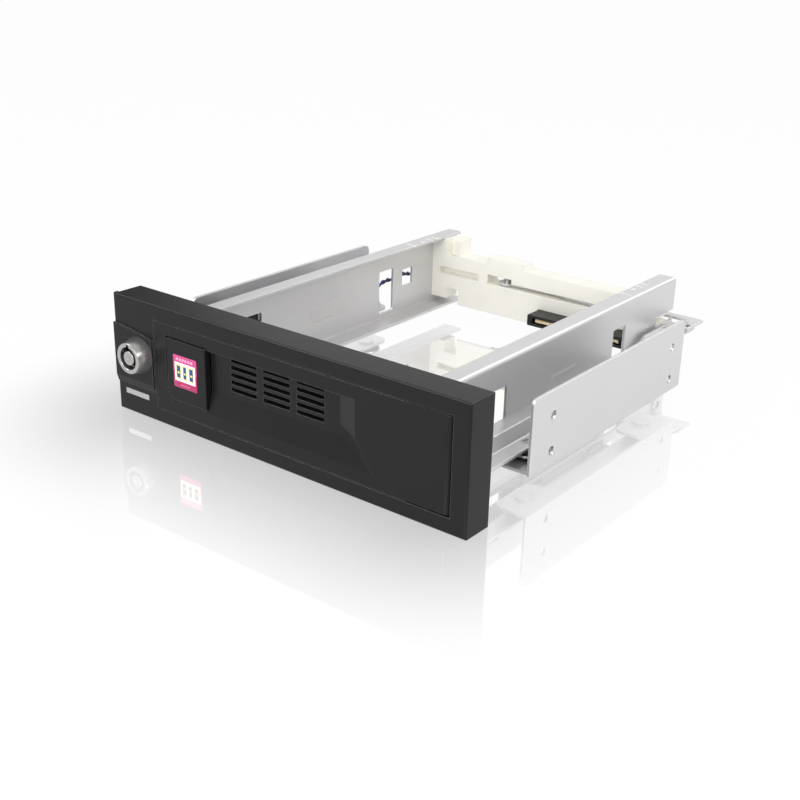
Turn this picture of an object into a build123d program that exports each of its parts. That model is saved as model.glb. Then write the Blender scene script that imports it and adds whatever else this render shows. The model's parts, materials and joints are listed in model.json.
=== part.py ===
from build123d import *
import math
import os

# A trayless drive cage for a 5.25 inch bay, all sizes in millimetres.
# X runs to the right seen from the front, Y to the rear and Z up.
# Heights are above the bezel's lower edge, depths are behind the bezel's back face.
# export_node moves every piece so that the origin lies under the middle of the whole box.

# Fits
gap = 0.3            # between a moving piece and its neighbours
run_gap = 0.05       # radial, shafts and pins that turn
seat_gap = 0.02      # radial, pins and screws that stay fixed

# Front bezel
bezel_w = 148.0
bezel_h = 42.0
bezel_t = 11.3
face_y = -bezel_t
lip_w = 1.0          # step behind the front plate at the left end
lip_t = 2.0
bezel_fillet = 0.7
lock_zone = 19.7     # from the bezel's left end to the door opening
hinge_zone = 5.8     # from the bezel's right end to the door opening
rail_inset = 20.2    # from the bezel's end to the rail's outer face
wing_inset = 1.0     # from the bezel's end to the wing's outer face

# Door opening in the bezel, and the door in it
door_left = -bezel_w / 2 + lock_zone
door_right = bezel_w / 2 - hinge_zone
door_low = 5.2
door_high = 36.9
recess_depth = 6.0
door_skin = 2.2
door_rim = 1.5
door_rim_depth = 5.0
hinge_r = 2.0
hinge_pin_r = 0.9
hinge_pin_in_door = 4.0
hinge_pin_in_bezel = 2.2
rim_stop = 8.0       # the door's rims end this far from the crank
door_edge = 0.35

# Finger scoop and vents in the door
scoop_right_face = door_right - 35.2
scoop_slope = 8.0    # width of the slope at the scoop's right end
scoop_flare = 7.0    # the lower right corner spreads by this
scoop_high = 31.9
scoop_bend_face = 20.0
scoop_bend_floor = 21.0
scoop_low_face = 9.9
scoop_low_floor = 17.5
scoop_depth_left = 2.0
scoop_depth_right = 2.8
bulge_t = 6.2
plate_well = 4.9     # depth of the well behind the release plate's free end
vent_w = 11.2
vent_pitch_x = 14.0
vent_columns = 3
vent_top_z = 31.1
vent_h = 1.4
vent_cut = 8.0
vent_pitch_z = 2.5
vent_rows = 5

# Release plate at the door's free end, and its latch
plate_left = door_left + 6.0
plate_w = 18.8
plate_right = plate_left + plate_w
vent_first_x = plate_right + 9.1
plate_low = 11.0
plate_high = 32.3
plate_proud = 0.6
plate_t = 2.4
plate_corner_r = 3.5
plate_edge = 0.3
release_pin_r = 0.5
hook_low = 19.0
hook_high = 24.0
hook_t = 1.8
label_w = 11.0
label_h = 11.3
label_t = 0.15
label_x = plate_left + 9.4
label_z = 21.8

# Lock
lock_x = -bezel_w / 2 + 13.0
lock_z = 22.9
lock_head_r = 6.5
lock_front_r = 5.5
lock_head_len = 5.2
lock_body_r = 4.6
lock_body_end = 9.0
plug_r = 3.3
keyway_r = 3.9
post_r = 2.3
keyway_depth = 4.5
nut_flats = 10.2
nut_t = 2.5
cam_len = 8.0
cam_w = 5.0
cam_t = 1.2
housing_h = 17.6     # in front, round the cam
housing_step = 12.6
housing_low_h = 11.2
housing_end = 37.6
housing_wall = 0.8
pad_proud = 0.8
pad_right = door_left - 0.7
pad_low = 10.4
pad_high_left = 31.8
pad_high_right = 28.9

# Light bar and its board
bar_left = -bezel_w / 2 + 4.0
bar_len = 11.6
bar_right = bar_left + bar_len
bar_low = 6.7
bar_high = 8.6
led_pocket_depth = 9.3

# Side rails
rail_x = bezel_w / 2 - rail_inset    # outer face of the web
sheet = 1.0
rail_low = 6.6
rail_high = 36.4
rail_end = 153.2
top_flange = 7.0
bottom_flange = 9.3
bend_r = 1.2
window_low = 9.6
window_high = 27.3
front_window = (27.5, 38.1)
tall_window = (rail_end - 47.2, rail_end - 38.2)
square_window = (rail_end - 32.3, rail_end - 25.4)
square_low = 18.0
square_high = 25.2
notch_low = 20.0
notch_high = 24.0
notch_front = rail_end - 13.9
lead_notch_front = rail_end - 4.6
mark_depth = 0.4
leaf_front = 64.0
leaf_rear = 81.0
leaf_low = 16.5
leaf_high = 22.0
slit = 0.8

# Floating brackets outside the rails
ledge_z = 16.35
ledge_x = rail_x + 5.7
riser_slant = 0.667  # sideways run of the riser for its height
foot_z = 12.6
foot_out = rail_x + 13.6
foot_rear = 116.2
bracket_front = 2.0
bracket_rear = 104.0
weld_tabs = ((6.0, 24.0), (50.0, 96.0))

# Rubber dampers
damper_x = rail_x + 11.0
damper_ys = (34.4, 112.4)
grommet_r = 5.5
grommet_bore_r = 3.3
screw_clear = 0.1
damper_ring_r = 6.0
damper_ring_t = 0.7
clinch_r = 2.4
clinch_body_t = 1.2

# Mounting wings with the bay's own hole pattern
wing_x = bezel_w / 2 - wing_inset
wing_front = 22.9
wing_rear = 122.6
wing_low = 6.9
wing_high = 32.0
wing_corner_r = 2.5
wing_tabs = ((23.6, 44.4), (100.4, 121.5))
tab_x = rail_x + 6.0
tab_corner_r = 4.0
bay_hole_r = 1.6
bay_hole_y = 34.9
bay_hole_z = 11.6
bay_pitch_y = 79.25
bay_pitch_z = 11.9

# Screws
m3_r = 1.5
m3_head_r = 2.75
m3_head_t = 1.6
m3_nut_flats = 5.5
flat_head_r = 3.4
flat_head_t = 0.8
small_r = 1.1
small_head_r = 2.2
small_head_t = 1.3
small_len = 7.0
member_screw_z = 13.2

# Rear cross member
beam_front = rail_end - 11.2
beam_depth = 8.0
beam_rear = beam_front + beam_depth
beam_high = 28.8
pillar_low = 9.7
pillar_in = rail_x - 8.5
post_in = rail_x - 14.8
panel_low = 8.0
panel_t = 2.0
prong_split_low = 20.5
prong_split_high = 22.4
lower_rib_t = 2.0
block_left = -24.5
block_right = -7.3
block_high = 31.6
block_depth = 6.6
slot_left = -(rail_x - 8.9)
slot_right = -(rail_x - 13.0)
slot_depth = 3.0
foot_notch_high = 14.6
groove_left = -(rail_x - 4.9)
groove_right = -(rail_x - 24.8)
groove_low = 20.4
groove_high = 23.2
window_right = -12.8
window_top = 24.3

# Lever that pushes the drive off its connector
lever_low = 20.8
lever_t = 1.0
pivot_x = -17.0
pivot_y = beam_front + 4.0
pivot_r = 1.5
lever_hub_r = 3.6
lever_root = 1.8     # half the lever's width at its hub
lever_w = 3.4
lever_end_x = rail_x + 12.0
lever_rear = beam_rear + 4.8
lever_arm_w = 5.0
lever_arm_front = beam_front - 0.6
lever_bend = 7.0     # the strip bends this far inside the rail's outer face
nose_left = 12.0
nose_right = 30.0
nose_ramp = 3.0
nose_front = beam_front + 1.8
nose_root_left = beam_front + 3.4
nose_root_right = beam_front + 5.2

# Slide bar between the door and the lever
bar_top = 15.0       # of its long run, under the bracket's ledge
bar_height = 3.7
bar_gap = 0.4
bar_rise = (118.0, 127.0)
link_tab_top = 20.5
crank_x = rail_x + 6.6
crank_y = -3.3
crank_pin_r = 1.0
crank_t = 2.4
fork_slack = 0.4
slide_travel = 12.0
link_x = rail_x + 8.8
link_y = beam_front + 2.6
link_r = 1.1
link_slip = 1.2      # sideways, as the lever turns
link_slack = 0.15    # fore and aft, as the lever turns
guide_ys = (47.0, 88.0)
guide_r = 0.9
guide_head_r = 1.7
guide_head_t = 0.6

# Backplane and its connectors
board_t = 1.6
board_left = -21.0
board_right = rail_x - 8.8
board_low = 8.4
board_high = 18.2
sata_right = rail_x - 9.0
sata_w = 44.1
sata_left = sata_right - sata_w
sata_low = 10.2
sata_high = 14.7
sata_front = beam_front - 7.8
sata_wall = 1.0
sata_boss = 2.2
sata_back = 1.5
tongue_in = 3.4
tongue_t = 1.2
tongue_back = 0.6
signal_len = 10.2
tongue_gap = 2.0
contact_pitch = 1.27
contact_w = 0.6
contact_t = 0.15
signal_contacts = 7
power_contacts = 15
port_low = 9.0
port_high = 15.0
port_depth = 8.5
data_port = (-12.5, 2.5)
power_port = (8.0, 32.0)

# Light lead, a twisted pair held along the left side
lead_d = 1.8
lead_end_z = 11.6
plug_left = -20.2
plug_w = 5.6
plug_depth = 6.8
plug_h = 4.4

# Worked out from the sizes above
hinge_x = door_right - gap - hinge_r
hinge_y = face_y + hinge_r
mid_y = (face_y - pad_proud - lock_head_len + lever_rear) / 2


def block(x0, x1, y0, y1, z0, z1):
    """A box given by its two corners."""
    centre = ((x0 + x1) / 2, (y0 + y1) / 2, (z0 + z1) / 2)
    return Pos(*centre) * Box(abs(x1 - x0), abs(y1 - y0), abs(z1 - z0))


def rod_x(r, x0, x1, y, z):
    """A cylinder along X."""
    return Pos((x0 + x1) / 2, y, z) * Rot(0, 90, 0) * Cylinder(r, abs(x1 - x0))


def rod_y(r, y0, y1, x, z):
    """A cylinder along Y."""
    return Pos(x, (y0 + y1) / 2, z) * Rot(90, 0, 0) * Cylinder(r, abs(y1 - y0))


def rod_z(r, z0, z1, x, y):
    """A cylinder along Z."""
    return Pos(x, y, (z0 + z1) / 2) * Cylinder(r, abs(z1 - z0))


def plan(points, z0, z1):
    """A flat plate from its outline seen from above."""
    face = make_face(Polyline(*points, close=True))
    return Pos(0, 0, z0) * extrude(face, amount=z1 - z0)


def section(points, y0, y1):
    """A profile in X and Z carried along Y."""
    outline = Polyline(*[(x, 0, z) for x, z in points], close=True)
    return Pos(0, y0, 0) * extrude(make_face(outline), amount=y1 - y0, dir=(0, 1, 0))


def round_upright(part, r, test):
    """Rounds the upright edges that pass the test."""
    edges = [e for e in part.edges().filter_by(Axis.Z) if test(e.center())]
    return fillet(edges, r)


def round_along(part, axis, r, test):
    """Rounds the edges along an axis that pass the test."""
    edges = [e for e in part.edges().filter_by(axis) if test(e.center())]
    return fillet(edges, r)


def hex_z(flats, z0, z1, x, y):
    """A hexagonal prism along Z."""
    outline = RegularPolygon(flats / 2, 6, major_radius=False)
    return Pos(x, y, z0) * extrude(outline, amount=z1 - z0)


def several(parts):
    """The separate solids of one node."""
    return Compound([solid for part in parts for solid in part.solids()])


def other_side(part):
    """The same piece on the left side."""
    return mirror(part, about=Plane.YZ)


def make_bezel():
    front = block(-bezel_w / 2, bezel_w / 2, face_y, face_y + lip_t, 0, bezel_h)
    body = block(-bezel_w / 2 + lip_w, bezel_w / 2, face_y + lip_t, 0, 0, bezel_h)
    bezel = front + body
    rim = [e for e in bezel.edges() if abs(e.center().Y - face_y) < 0.01]
    bezel = fillet(rim, bezel_fillet)
    bezel += lock_pad()
    floor_y = face_y + recess_depth
    bezel -= block(door_left, door_right, face_y - 1, floor_y, door_low, door_high)
    inner_x = rail_x - sheet + 0.5
    bezel -= block(-inner_x, inner_x, floor_y - 1, 1, door_low + 1, door_high - 1)
    # Well for the door's crank and the slide bar
    well_low = bar_top - bar_height - gap
    well_high = bar_top + 2 * gap + crank_t
    bezel -= block(inner_x - 1, door_right, floor_y - 1, 1, well_low, well_high)
    # Keeper pocket for the release hook
    bezel -= block(door_left - 1.3, -inner_x + 1, hook_y() - 1.2, 1, hook_low - 1, hook_high + 1)
    # Lock hole and the pocket of the light board
    bezel -= rod_y(lock_body_r + seat_gap, face_y - 3, 1, lock_x, lock_z)
    pocket_front = -led_pocket_depth
    bezel -= block(bar_left - 1.5, bar_right + 1.4, pocket_front, 1, bar_low - 3.2, bar_high + 4)
    bezel -= block(bar_left, bar_right, face_y - 1, pocket_front + 1, bar_low, bar_high)
    for x, z in bezel_screw_places():
        bezel -= rod_y(small_r + seat_gap, -small_len, 1, x, z)
    reach = hinge_pin_in_bezel
    bezel -= rod_z(hinge_pin_r + seat_gap, door_low - reach, door_low + 1, hinge_x, hinge_y)
    bezel -= rod_z(hinge_pin_r + seat_gap, door_high - 1, door_high + reach, hinge_x, hinge_y)
    return bezel


def lock_pad():
    """Raised pad round the lock, arched along its top."""
    left = -bezel_w / 2 + 0.2
    middle = ((left + pad_right) / 2, pad_high_left - 0.9)
    top = ThreePointArc((left, 0, pad_high_left), (middle[0], 0, middle[1]), (pad_right, 0, pad_high_right))
    sides = Polyline((pad_right, 0, pad_high_right), (pad_right, 0, pad_low), (left, 0, pad_low),
                     (left, 0, pad_high_left))
    face = make_face([top, sides])
    pad = Pos(0, face_y - pad_proud, 0) * extrude(face, amount=pad_proud + 0.3, dir=(0, 1, 0))
    low = [e for e in pad.edges().filter_by(Axis.X) if e.center().Z < pad_low + 0.01]
    low = [e for e in low if e.center().Y < face_y - pad_proud + 0.01]
    return chamfer(low, pad_proud - 0.1, 2.6)


def bezel_screw_places():
    places = []
    for side in (-1, 1):
        places.append((side * (rail_x - top_flange / 2), rail_high + 2.4))
        places.append((side * (rail_x - bottom_flange / 2), rail_low - 3.2))
    return places


def make_bezel_screws():
    screws = []
    for x, z in bezel_screw_places():
        screw = rod_y(small_head_r, sheet, sheet + small_head_t, x, z)
        screw += rod_y(small_r, -small_len + 1, sheet, x, z)
        screws.append(screw)
    return several(screws)


def make_door():
    skin_back = face_y + door_skin
    left = door_left + gap
    low = door_low + gap
    high = door_high - gap
    rim_back = face_y + door_rim_depth
    door = block(left, hinge_x, face_y, skin_back, low, high)
    outline = [e for e in door.edges() if e.center().Y < face_y + 0.01 and e.center().X < hinge_x - 1]
    door = fillet(outline, door_edge)
    barrel = rod_z(hinge_r, low, high, hinge_x, hinge_y)
    door += chamfer(barrel.edges().filter_by(GeomType.CIRCLE), door_edge)
    rim_end = crank_x - rim_stop
    door += block(left, left + door_rim, face_y, rim_back, low, high)
    door += block(left, rim_end, face_y, rim_back, high - door_rim, high)
    door += block(left, rim_end, face_y, rim_back, low, low + door_rim)
    # Bulge behind the scoop, then the scoop itself as a pocket with sloping sides
    bulge_back = face_y + bulge_t
    door += block(plate_right - 2, scoop_right_face + 3, skin_back - 0.5, bulge_back,
                  scoop_low_face - 1, scoop_high + 1.2)
    door -= scoop_pocket()
    door -= vents()
    # Opening for the release plate
    door -= plate_outline(gap, face_y - 1, face_y + plate_well)
    door -= block(left - 1, left + door_rim + 0.5, skin_back, rim_back + 1, hook_low - 0.6, hook_high + 0.6)
    for z0, z1 in release_pin_spans():
        door -= rod_z(release_pin_r + seat_gap, z0, z1, release_axis()[0], release_axis()[1])
    door += crank_arm()
    door -= rod_z(crank_pin_r + seat_gap, bar_top + gap, bar_top + gap + crank_t + 1, crank_x, crank_y)
    for z0, z1 in ((low - 1, low + hinge_pin_in_door), (high - hinge_pin_in_door, high + 1)):
        door -= rod_z(hinge_pin_r + run_gap, z0, z1, hinge_x, hinge_y)
    return door


def scoop_pocket():
    """Ruled pocket: the floor gets deeper to the right, and its lower part slopes up to the face."""
    x0 = plate_right - 1
    x1 = scoop_right_face
    x2 = scoop_right_face - scoop_slope
    deepen = (scoop_depth_right - scoop_depth_left) / (x2 - x0)
    mouth = [(x0, scoop_low_face), (x1 + scoop_flare, scoop_low_face), (x1, scoop_bend_face),
             (x1, scoop_high), (x0, scoop_high)]
    floor = [(x0, scoop_low_floor), (x2 + 2, scoop_low_floor), (x2, scoop_bend_floor),
             (x2, scoop_high - 0.4), (x0, scoop_high - 0.4)]
    front = Polyline(*[(x, face_y, z) for x, z in mouth], close=True)
    back = Polyline(*[(x, face_y + scoop_depth_left + (x - x0) * deepen, z) for x, z in floor], close=True)
    return loft([make_face(front), make_face(back)], ruled=True)


def vents():
    cutter = None
    for column in range(vent_columns):
        x0 = vent_first_x + column * vent_pitch_x
        for row in range(vent_rows):
            z1 = vent_top_z - row * vent_pitch_z
            slot = block(x0, x0 + vent_w, face_y, face_y + vent_cut, z1 - vent_h, z1)
            cutter = slot if cutter is None else cutter + slot
    return cutter


def plate_outline(grow, y0, y1):
    """The release plate's outline, grown all round, carried from y0 to y1."""
    part = block(plate_left - grow, plate_right + grow, y0, y1, plate_low - grow, plate_high + grow)
    edges = [e for e in part.edges().filter_by(Axis.Y) if e.center().X < label_x and e.center().Z < label_z]
    return fillet(edges, plate_corner_r)


def release_axis():
    """Axis of the release plate, close behind its left edge."""
    r = plate_t / 2
    return plate_left + r, face_y - plate_proud + r


def release_pin_spans():
    return ((plate_low - 2.5, plate_low + 8), (plate_high - 5, plate_high + 2.5))


def hook_y():
    """Front of the latch hook behind the door's skin."""
    return face_y + door_skin + 1.6


def crank_arm():
    """Arm on the door's inner side that drives the slide bar."""
    z0 = bar_top + gap
    z1 = z0 + crank_t
    r = crank_pin_r + 0.9
    arm = rod_z(r, z0, z1, crank_x, crank_y) + rod_z(hinge_r, z0, z1, hinge_x, hinge_y)
    dx = hinge_x - crank_x
    dy = hinge_y - crank_y
    length = math.hypot(dx, dy)
    web = Rot(0, 0, math.degrees(math.atan2(dy, dx))) * Box(length, 2 * r, crank_t)
    return arm + Pos((crank_x + hinge_x) / 2, (crank_y + hinge_y) / 2, (z0 + z1) / 2) * web


def make_hinge_pins():
    low = door_low + gap
    high = door_high - gap
    lower = rod_z(hinge_pin_r, door_low - hinge_pin_in_bezel, low + hinge_pin_in_door - 0.5, hinge_x, hinge_y)
    upper = rod_z(hinge_pin_r, high - hinge_pin_in_door + 0.5, door_high + hinge_pin_in_bezel, hinge_x, hinge_y)
    return several([lower, upper])


def make_crank_pin():
    return rod_z(crank_pin_r, bar_top - 2, bar_top + gap + crank_t, crank_x, crank_y)


def make_release_plate():
    y0 = face_y - plate_proud
    x_axis, y_axis = release_axis()
    plate = plate_outline(0, y0, y0 + plate_t)
    plate = fillet([e for e in plate.edges() if e.center().Y < y0 + 0.01], plate_edge)
    plate -= block(plate_left - 1, x_axis, y0 - 1, y0 + plate_t + 1, plate_low + plate_corner_r, plate_high + 1)
    plate += rod_z(plate_t / 2, plate_low + plate_corner_r, plate_high - plate_edge, x_axis, y_axis)
    # Arm to the rear and the hook to the left
    back = hook_y() + hook_t
    plate += block(x_axis - 1, x_axis + 2, y0 + plate_t - 0.5, back, hook_low, hook_high)
    plate += block(door_left + gap, x_axis, hook_y(), back, hook_low, hook_high)
    for z0, z1 in release_pin_spans():
        plate -= rod_z(release_pin_r + run_gap, z0, z1, x_axis, y_axis)
    return plate


def make_release_pins():
    x_axis, y_axis = release_axis()
    return several([rod_z(release_pin_r, z0 + 0.2, z1 - 0.2, x_axis, y_axis)
                    for z0, z1 in release_pin_spans()])


def make_label():
    y1 = face_y - plate_proud
    return block(label_x - label_w / 2, label_x + label_w / 2, y1 - label_t, y1,
                 label_z - label_h / 2, label_z + label_h / 2)


def make_lock_barrel():
    pad_y = face_y - pad_proud
    cone = Rot(90, 0, 0) * Cone(lock_head_r, lock_front_r, lock_head_len)
    head = Pos(lock_x, pad_y - lock_head_len / 2, lock_z) * cone
    nose = [e for e in head.edges().filter_by(GeomType.CIRCLE) if e.center().Y < pad_y - 1]
    head = fillet(nose, 0.7)
    barrel = head + rod_y(lock_body_r, pad_y, lock_body_end, lock_x, lock_z)
    front = pad_y - lock_head_len
    barrel -= rod_y(keyway_r, front - 1, front + keyway_depth + 0.6, lock_x, lock_z)
    barrel -= rod_y(plug_r + run_gap, front, lock_body_end + 1, lock_x, lock_z)
    barrel -= block(lock_x - 0.6, lock_x + 0.6, front - 1, front + keyway_depth, lock_z, lock_z + keyway_r + 0.9)
    return barrel


def make_lock_plug():
    front = face_y - pad_proud - lock_head_len
    plug = rod_y(post_r, front + 0.3, front + keyway_depth + 1, lock_x, lock_z)
    plug += rod_y(plug_r, front + keyway_depth, lock_body_end + gap, lock_x, lock_z)
    plug -= block(lock_x - 0.5, lock_x + 0.5, front, front + keyway_depth, lock_z + 1.3, lock_z + post_r + 1)
    plug += rod_y(1.6, lock_body_end, lock_body_end + gap + cam_t + 1, lock_x, lock_z)
    return plug


def make_lock_cam():
    y0 = lock_body_end + gap
    cam = block(lock_x - cam_w / 2, lock_x + cam_w / 2, y0, y0 + cam_t, lock_z, lock_z + cam_len)
    cam += rod_y(cam_w / 2 + 0.6, y0, y0 + cam_t, lock_x, lock_z)
    return cam - rod_y(1.6 + seat_gap, y0 - 1, y0 + cam_t + 1, lock_x, lock_z)


def make_lock_nut():
    nut = Rot(90, 0, 0) * extrude(RegularPolygon(nut_flats / 2, 6, major_radius=False), amount=nut_t)
    nut = Pos(lock_x, nut_t, lock_z) * nut
    return nut - rod_y(lock_body_r + seat_gap, -1, nut_t + 1, lock_x, lock_z)


def make_lock_housing():
    """Cover of the lock: tall in front round the cam, lower behind it, open to the bezel."""
    wall = housing_wall
    outer = housing_solid(0, 0)
    outer = fillet([e for e in outer.edges().filter_by(Axis.Y)], 1.2)
    return outer - housing_solid(wall, 1)


def housing_solid(inset, front):
    """The cover's outer form, or its hollow when inset by the wall."""
    x0 = -wing_x + sheet + 0.5 + inset
    x1 = -rail_x - gap - inset
    base = ledge_z + 0.15
    low = base + inset
    rear = housing_end - inset
    step = housing_step - inset
    top_front = base + housing_h - inset
    top_rear = base + housing_low_h - inset
    side = [(-front, low), (rear, low), (rear, top_rear), (step, top_rear), (step, top_front), (-front, top_front)]
    face = make_face(Polyline(*[(x0, y, z) for y, z in side], close=True))
    return extrude(face, amount=x1 - x0, dir=(1, 0, 0))


def make_light_bar():
    y0 = face_y - 0.15
    bar = block(bar_left + seat_gap, bar_right - seat_gap, y0, -5.0, bar_low + seat_gap, bar_high - seat_gap)
    return bar


def make_led_board():
    board = block(bar_left - 1.0, bar_right + 0.9, -4.0, -3.0, bar_low - 2.7, bar_high + 3.5)
    board += block(lead_x() - 2, lead_x() + 2, -3.0, -1.2, 6.4, 9.6)
    return board + block(lead_x() + 1.0, lead_x() + 3.6, -5.0, -4.0, bar_low - 0.2, bar_high + 0.2)


def lead_x():
    return bar_left + 3.5


def lead_points():
    """The light lead's route, from the light board to the backplane."""
    return [
        (lead_x(), -1.2, 8.0),
        (lead_x(), 5.0, 8.0),
        (-68.9, 12.0, 9.8),
        (-70.9, 24.0, 14.0),
        (-70.85, 42.0, 14.9),
        (-68.6, 56.0, 16.8),
        (-61.2, 69.0, 20.9),
        (-57.2, 82.0, 19.2),
        (-56.0, 94.0, 17.35),
        (-55.6, 103.0, 18.4),
        (-55.5, 112.0, 22.0),
        (-55.7, 118.5, 21.2),
        (-55.5, 124.5, 22.6),
        (-56.0, 132.0, 20.3),
        (-56.4, 141.0, 21.6),
        (-55.0, 151.9, 22.0),
        (-46.0, 152.6, 21.0),
        (-37.0, 152.4, 16.8),
        (-29.0, lead_end_y(), lead_end_z),
        (plug_left, lead_end_y(), lead_end_z),
    ]


def lead_end_y():
    return board_front() + board_t + plug_depth / 2 + 1.6


def make_lead_plug():
    """Small plug of the lead on the backplane."""
    y0 = board_front() + board_t
    return block(plug_left, plug_left + plug_w, y0, y0 + plug_depth,
                 lead_end_z - plug_h / 2, lead_end_z + plug_h / 2)


def corner_radii(points):
    """Radius of each arc: 0.45 of the shorter run over the tangent of half the turn."""
    radii = []
    for a, b, c in zip(points, points[1:], points[2:]):
        run_in = Vector(*b) - Vector(*a)
        run_out = Vector(*c) - Vector(*b)
        turn = math.radians(run_in.get_angle(run_out))
        radii.append(0.45 * min(run_in.length, run_out.length) / math.tan(turn / 2))
    return radii


def make_light_lead():
    points = lead_points()
    radii = corner_radii(points)
    print("lead radii", [round(r, 1) for r in radii])
    route = FilletPolyline(*points, radius=radii)
    start = Plane(origin=points[0], z_dir=Vector(*points[1]) - Vector(*points[0]))
    lead = sweep(start * Circle(lead_d / 2), path=route)
    print("lead length", round(route.length, 1), "volume", round(lead.volume, 2),
          "section by length", round(math.pi * lead_d ** 2 / 4 * route.length, 2))
    return lead


def make_side_rail(side):
    inner = rail_x - sheet
    points = [
        (rail_x - bottom_flange, rail_low), (rail_x, rail_low), (rail_x, rail_high),
        (rail_x - top_flange, rail_high), (rail_x - top_flange, rail_high - sheet),
        (inner, rail_high - sheet), (inner, rail_low + sheet), (rail_x - bottom_flange, rail_low + sheet),
    ]
    rail = section(points, 0, rail_end)
    rail = round_along(rail, Axis.Y, bend_r, lambda c: abs(c.X - rail_x) < 0.01)
    rail = round_along(rail, Axis.Y, bend_r - sheet, lambda c: abs(c.X - inner) < 0.01)
    for y0, y1 in (front_window, tall_window):
        rail -= web_window(y0, y1, window_low, window_high)
    if side < 0:
        rail -= web_window(square_window[0], square_window[1], square_low, square_high)
    rail -= web_window(notch_front if side > 0 else lead_notch_front, rail_end + 5, notch_low, notch_high)
    rail -= leaf_slit()
    rail += front_tabs()
    rail -= rod_x(m3_r + seat_gap, inner - 1, rail_x + 1, member_screw_y(), member_screw_z)
    if side > 0:
        for y in guide_ys:
            rail -= rod_x(guide_r + seat_gap, inner - 1, rail_x + 1, y, bar_top - bar_height / 2)
    for x, z in bezel_screw_places():
        if x > 0:
            rail -= rod_y(small_r + seat_gap, -1, sheet + 1, x, z)
    rail -= flange_marks()
    return rail if side > 0 else other_side(rail)


def web_window(y0, y1, z0, z1):
    hole = block(rail_x - sheet - 0.5, rail_x + 0.5, y0, y1, z0, z1)
    return fillet([e for e in hole.edges().filter_by(Axis.X)], 0.6)


def leaf_slit():
    """U-shaped slit that frees a leaf of the web to press on the drive."""
    outer = block(rail_x - 2, rail_x + 1, leaf_front, leaf_rear, leaf_low - slit, leaf_high + slit)
    leaf = block(rail_x - 3, rail_x + 2, leaf_front + slit, leaf_rear + 1, leaf_low, leaf_high)
    return outer - leaf


def front_tabs():
    """Tabs folded up and down at the front, screwed to the bezel."""
    upper = block(rail_x - top_flange, rail_x - bend_r, 0, sheet, rail_high - sheet, rail_high + 4.8)
    lower = block(rail_x - bottom_flange, rail_x - bend_r, 0, sheet, rail_low - 5.6, rail_low + sheet)
    return upper + lower


def flange_marks():
    """Slots and an arrow stamped into the top flange near its rear end."""
    cutter = None
    x0 = rail_x - top_flange
    for back, reach in ((31.6, 4.7), (19.8, 3.4), (16.2, 3.6)):
        y = rail_end - back
        slot = block(x0 - 1, x0 + reach, y - 0.45, y + 0.45, rail_high - mark_depth, rail_high + 1)
        cutter = slot if cutter is None else cutter + slot
    tip = rail_end - 24.4
    arrow = [(x0 + 0.9, tip + 1.6), (x0 + 0.9, tip - 1.6), (x0 + 3.4, tip)]
    return cutter + plan(arrow, rail_high - mark_depth, rail_high + 1)


def member_screw_y():
    return (beam_front + beam_rear) / 2


def make_member_screws():
    screws = []
    for side in (-1, 1):
        y, z = member_screw_y(), member_screw_z
        head = rod_x(m3_head_r, side * rail_x, side * (rail_x + m3_head_t), y, z)
        shank = rod_x(m3_r, side * (rail_x - sheet - 5), side * rail_x, y, z)
        screws.append(head + shank)
    return several(screws)


def riser_x(z):
    """Outer face of the bracket's slanting riser at height z."""
    return ledge_x + (ledge_z - z) * riser_slant


def make_float_bracket(side):
    """Sheet bracket: ledge beside the rail, slanting riser, and the foot that sits on the dampers."""
    across = sheet * math.sqrt(1 + riser_slant ** 2)
    under_foot = foot_z - sheet
    under_ledge = ledge_z - sheet
    foot = [
        (riser_x(foot_z), foot_z), (foot_out, foot_z), (foot_out, under_foot),
        (riser_x(under_foot) - across, under_foot),
    ]
    ledge = [(riser_x(under_ledge) - across, under_ledge), (rail_x, under_ledge), (rail_x, ledge_z), (ledge_x, ledge_z)]
    bracket = section(foot + ledge, bracket_front, bracket_rear)
    bracket += block(riser_x(under_foot) - across, foot_out, bracket_rear - 1, foot_rear, under_foot, foot_z)
    for y0, y1 in weld_tabs:
        bracket += block(rail_x, rail_x + sheet, y0, y1, rail_low + bend_r + 0.2, ledge_z - 0.5)
    for y in damper_ys:
        bracket -= rod_z(clinch_r + seat_gap, foot_z - 2, foot_z + 1, damper_x, y)
    for y in guide_ys:
        bracket -= rod_x(guide_r + seat_gap, rail_x - 1, rail_x + 2, y, bar_top - bar_height / 2)
    return bracket if side > 0 else other_side(bracket)


def make_wing(side):
    wing = block(wing_x - sheet, wing_x, wing_front, wing_rear, wing_low, wing_high)
    wing = round_along(wing, Axis.X, wing_corner_r, lambda c: c.Z > wing_high - 1)
    for y0, y1 in wing_tabs:
        tab = block(tab_x, wing_x - 0.5, y0, y1, wing_low, wing_low + sheet)
        wing += round_upright(tab, tab_corner_r, lambda c: c.X < tab_x + 1)
    for y in (bay_hole_y, bay_hole_y + bay_pitch_y):
        for z in (bay_hole_z, bay_hole_z + bay_pitch_z):
            wing -= rod_x(bay_hole_r, wing_x - 2, wing_x + 1, y, z)
    for y in damper_ys:
        wing -= rod_z(m3_r + screw_clear, wing_low - 1, wing_low + 2, damper_x, y)
    return wing if side > 0 else other_side(wing)


def damper_places():
    return [(side * damper_x, y) for side in (-1, 1) for y in damper_ys]


def rubber_spans():
    """Heights of the lower and of the upper rubber, with the steel ring between them."""
    low = wing_low + sheet
    high = foot_z - sheet
    rubber = (high - low - damper_ring_t) / 2
    return (low, low + rubber), (high - rubber, high)


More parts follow.
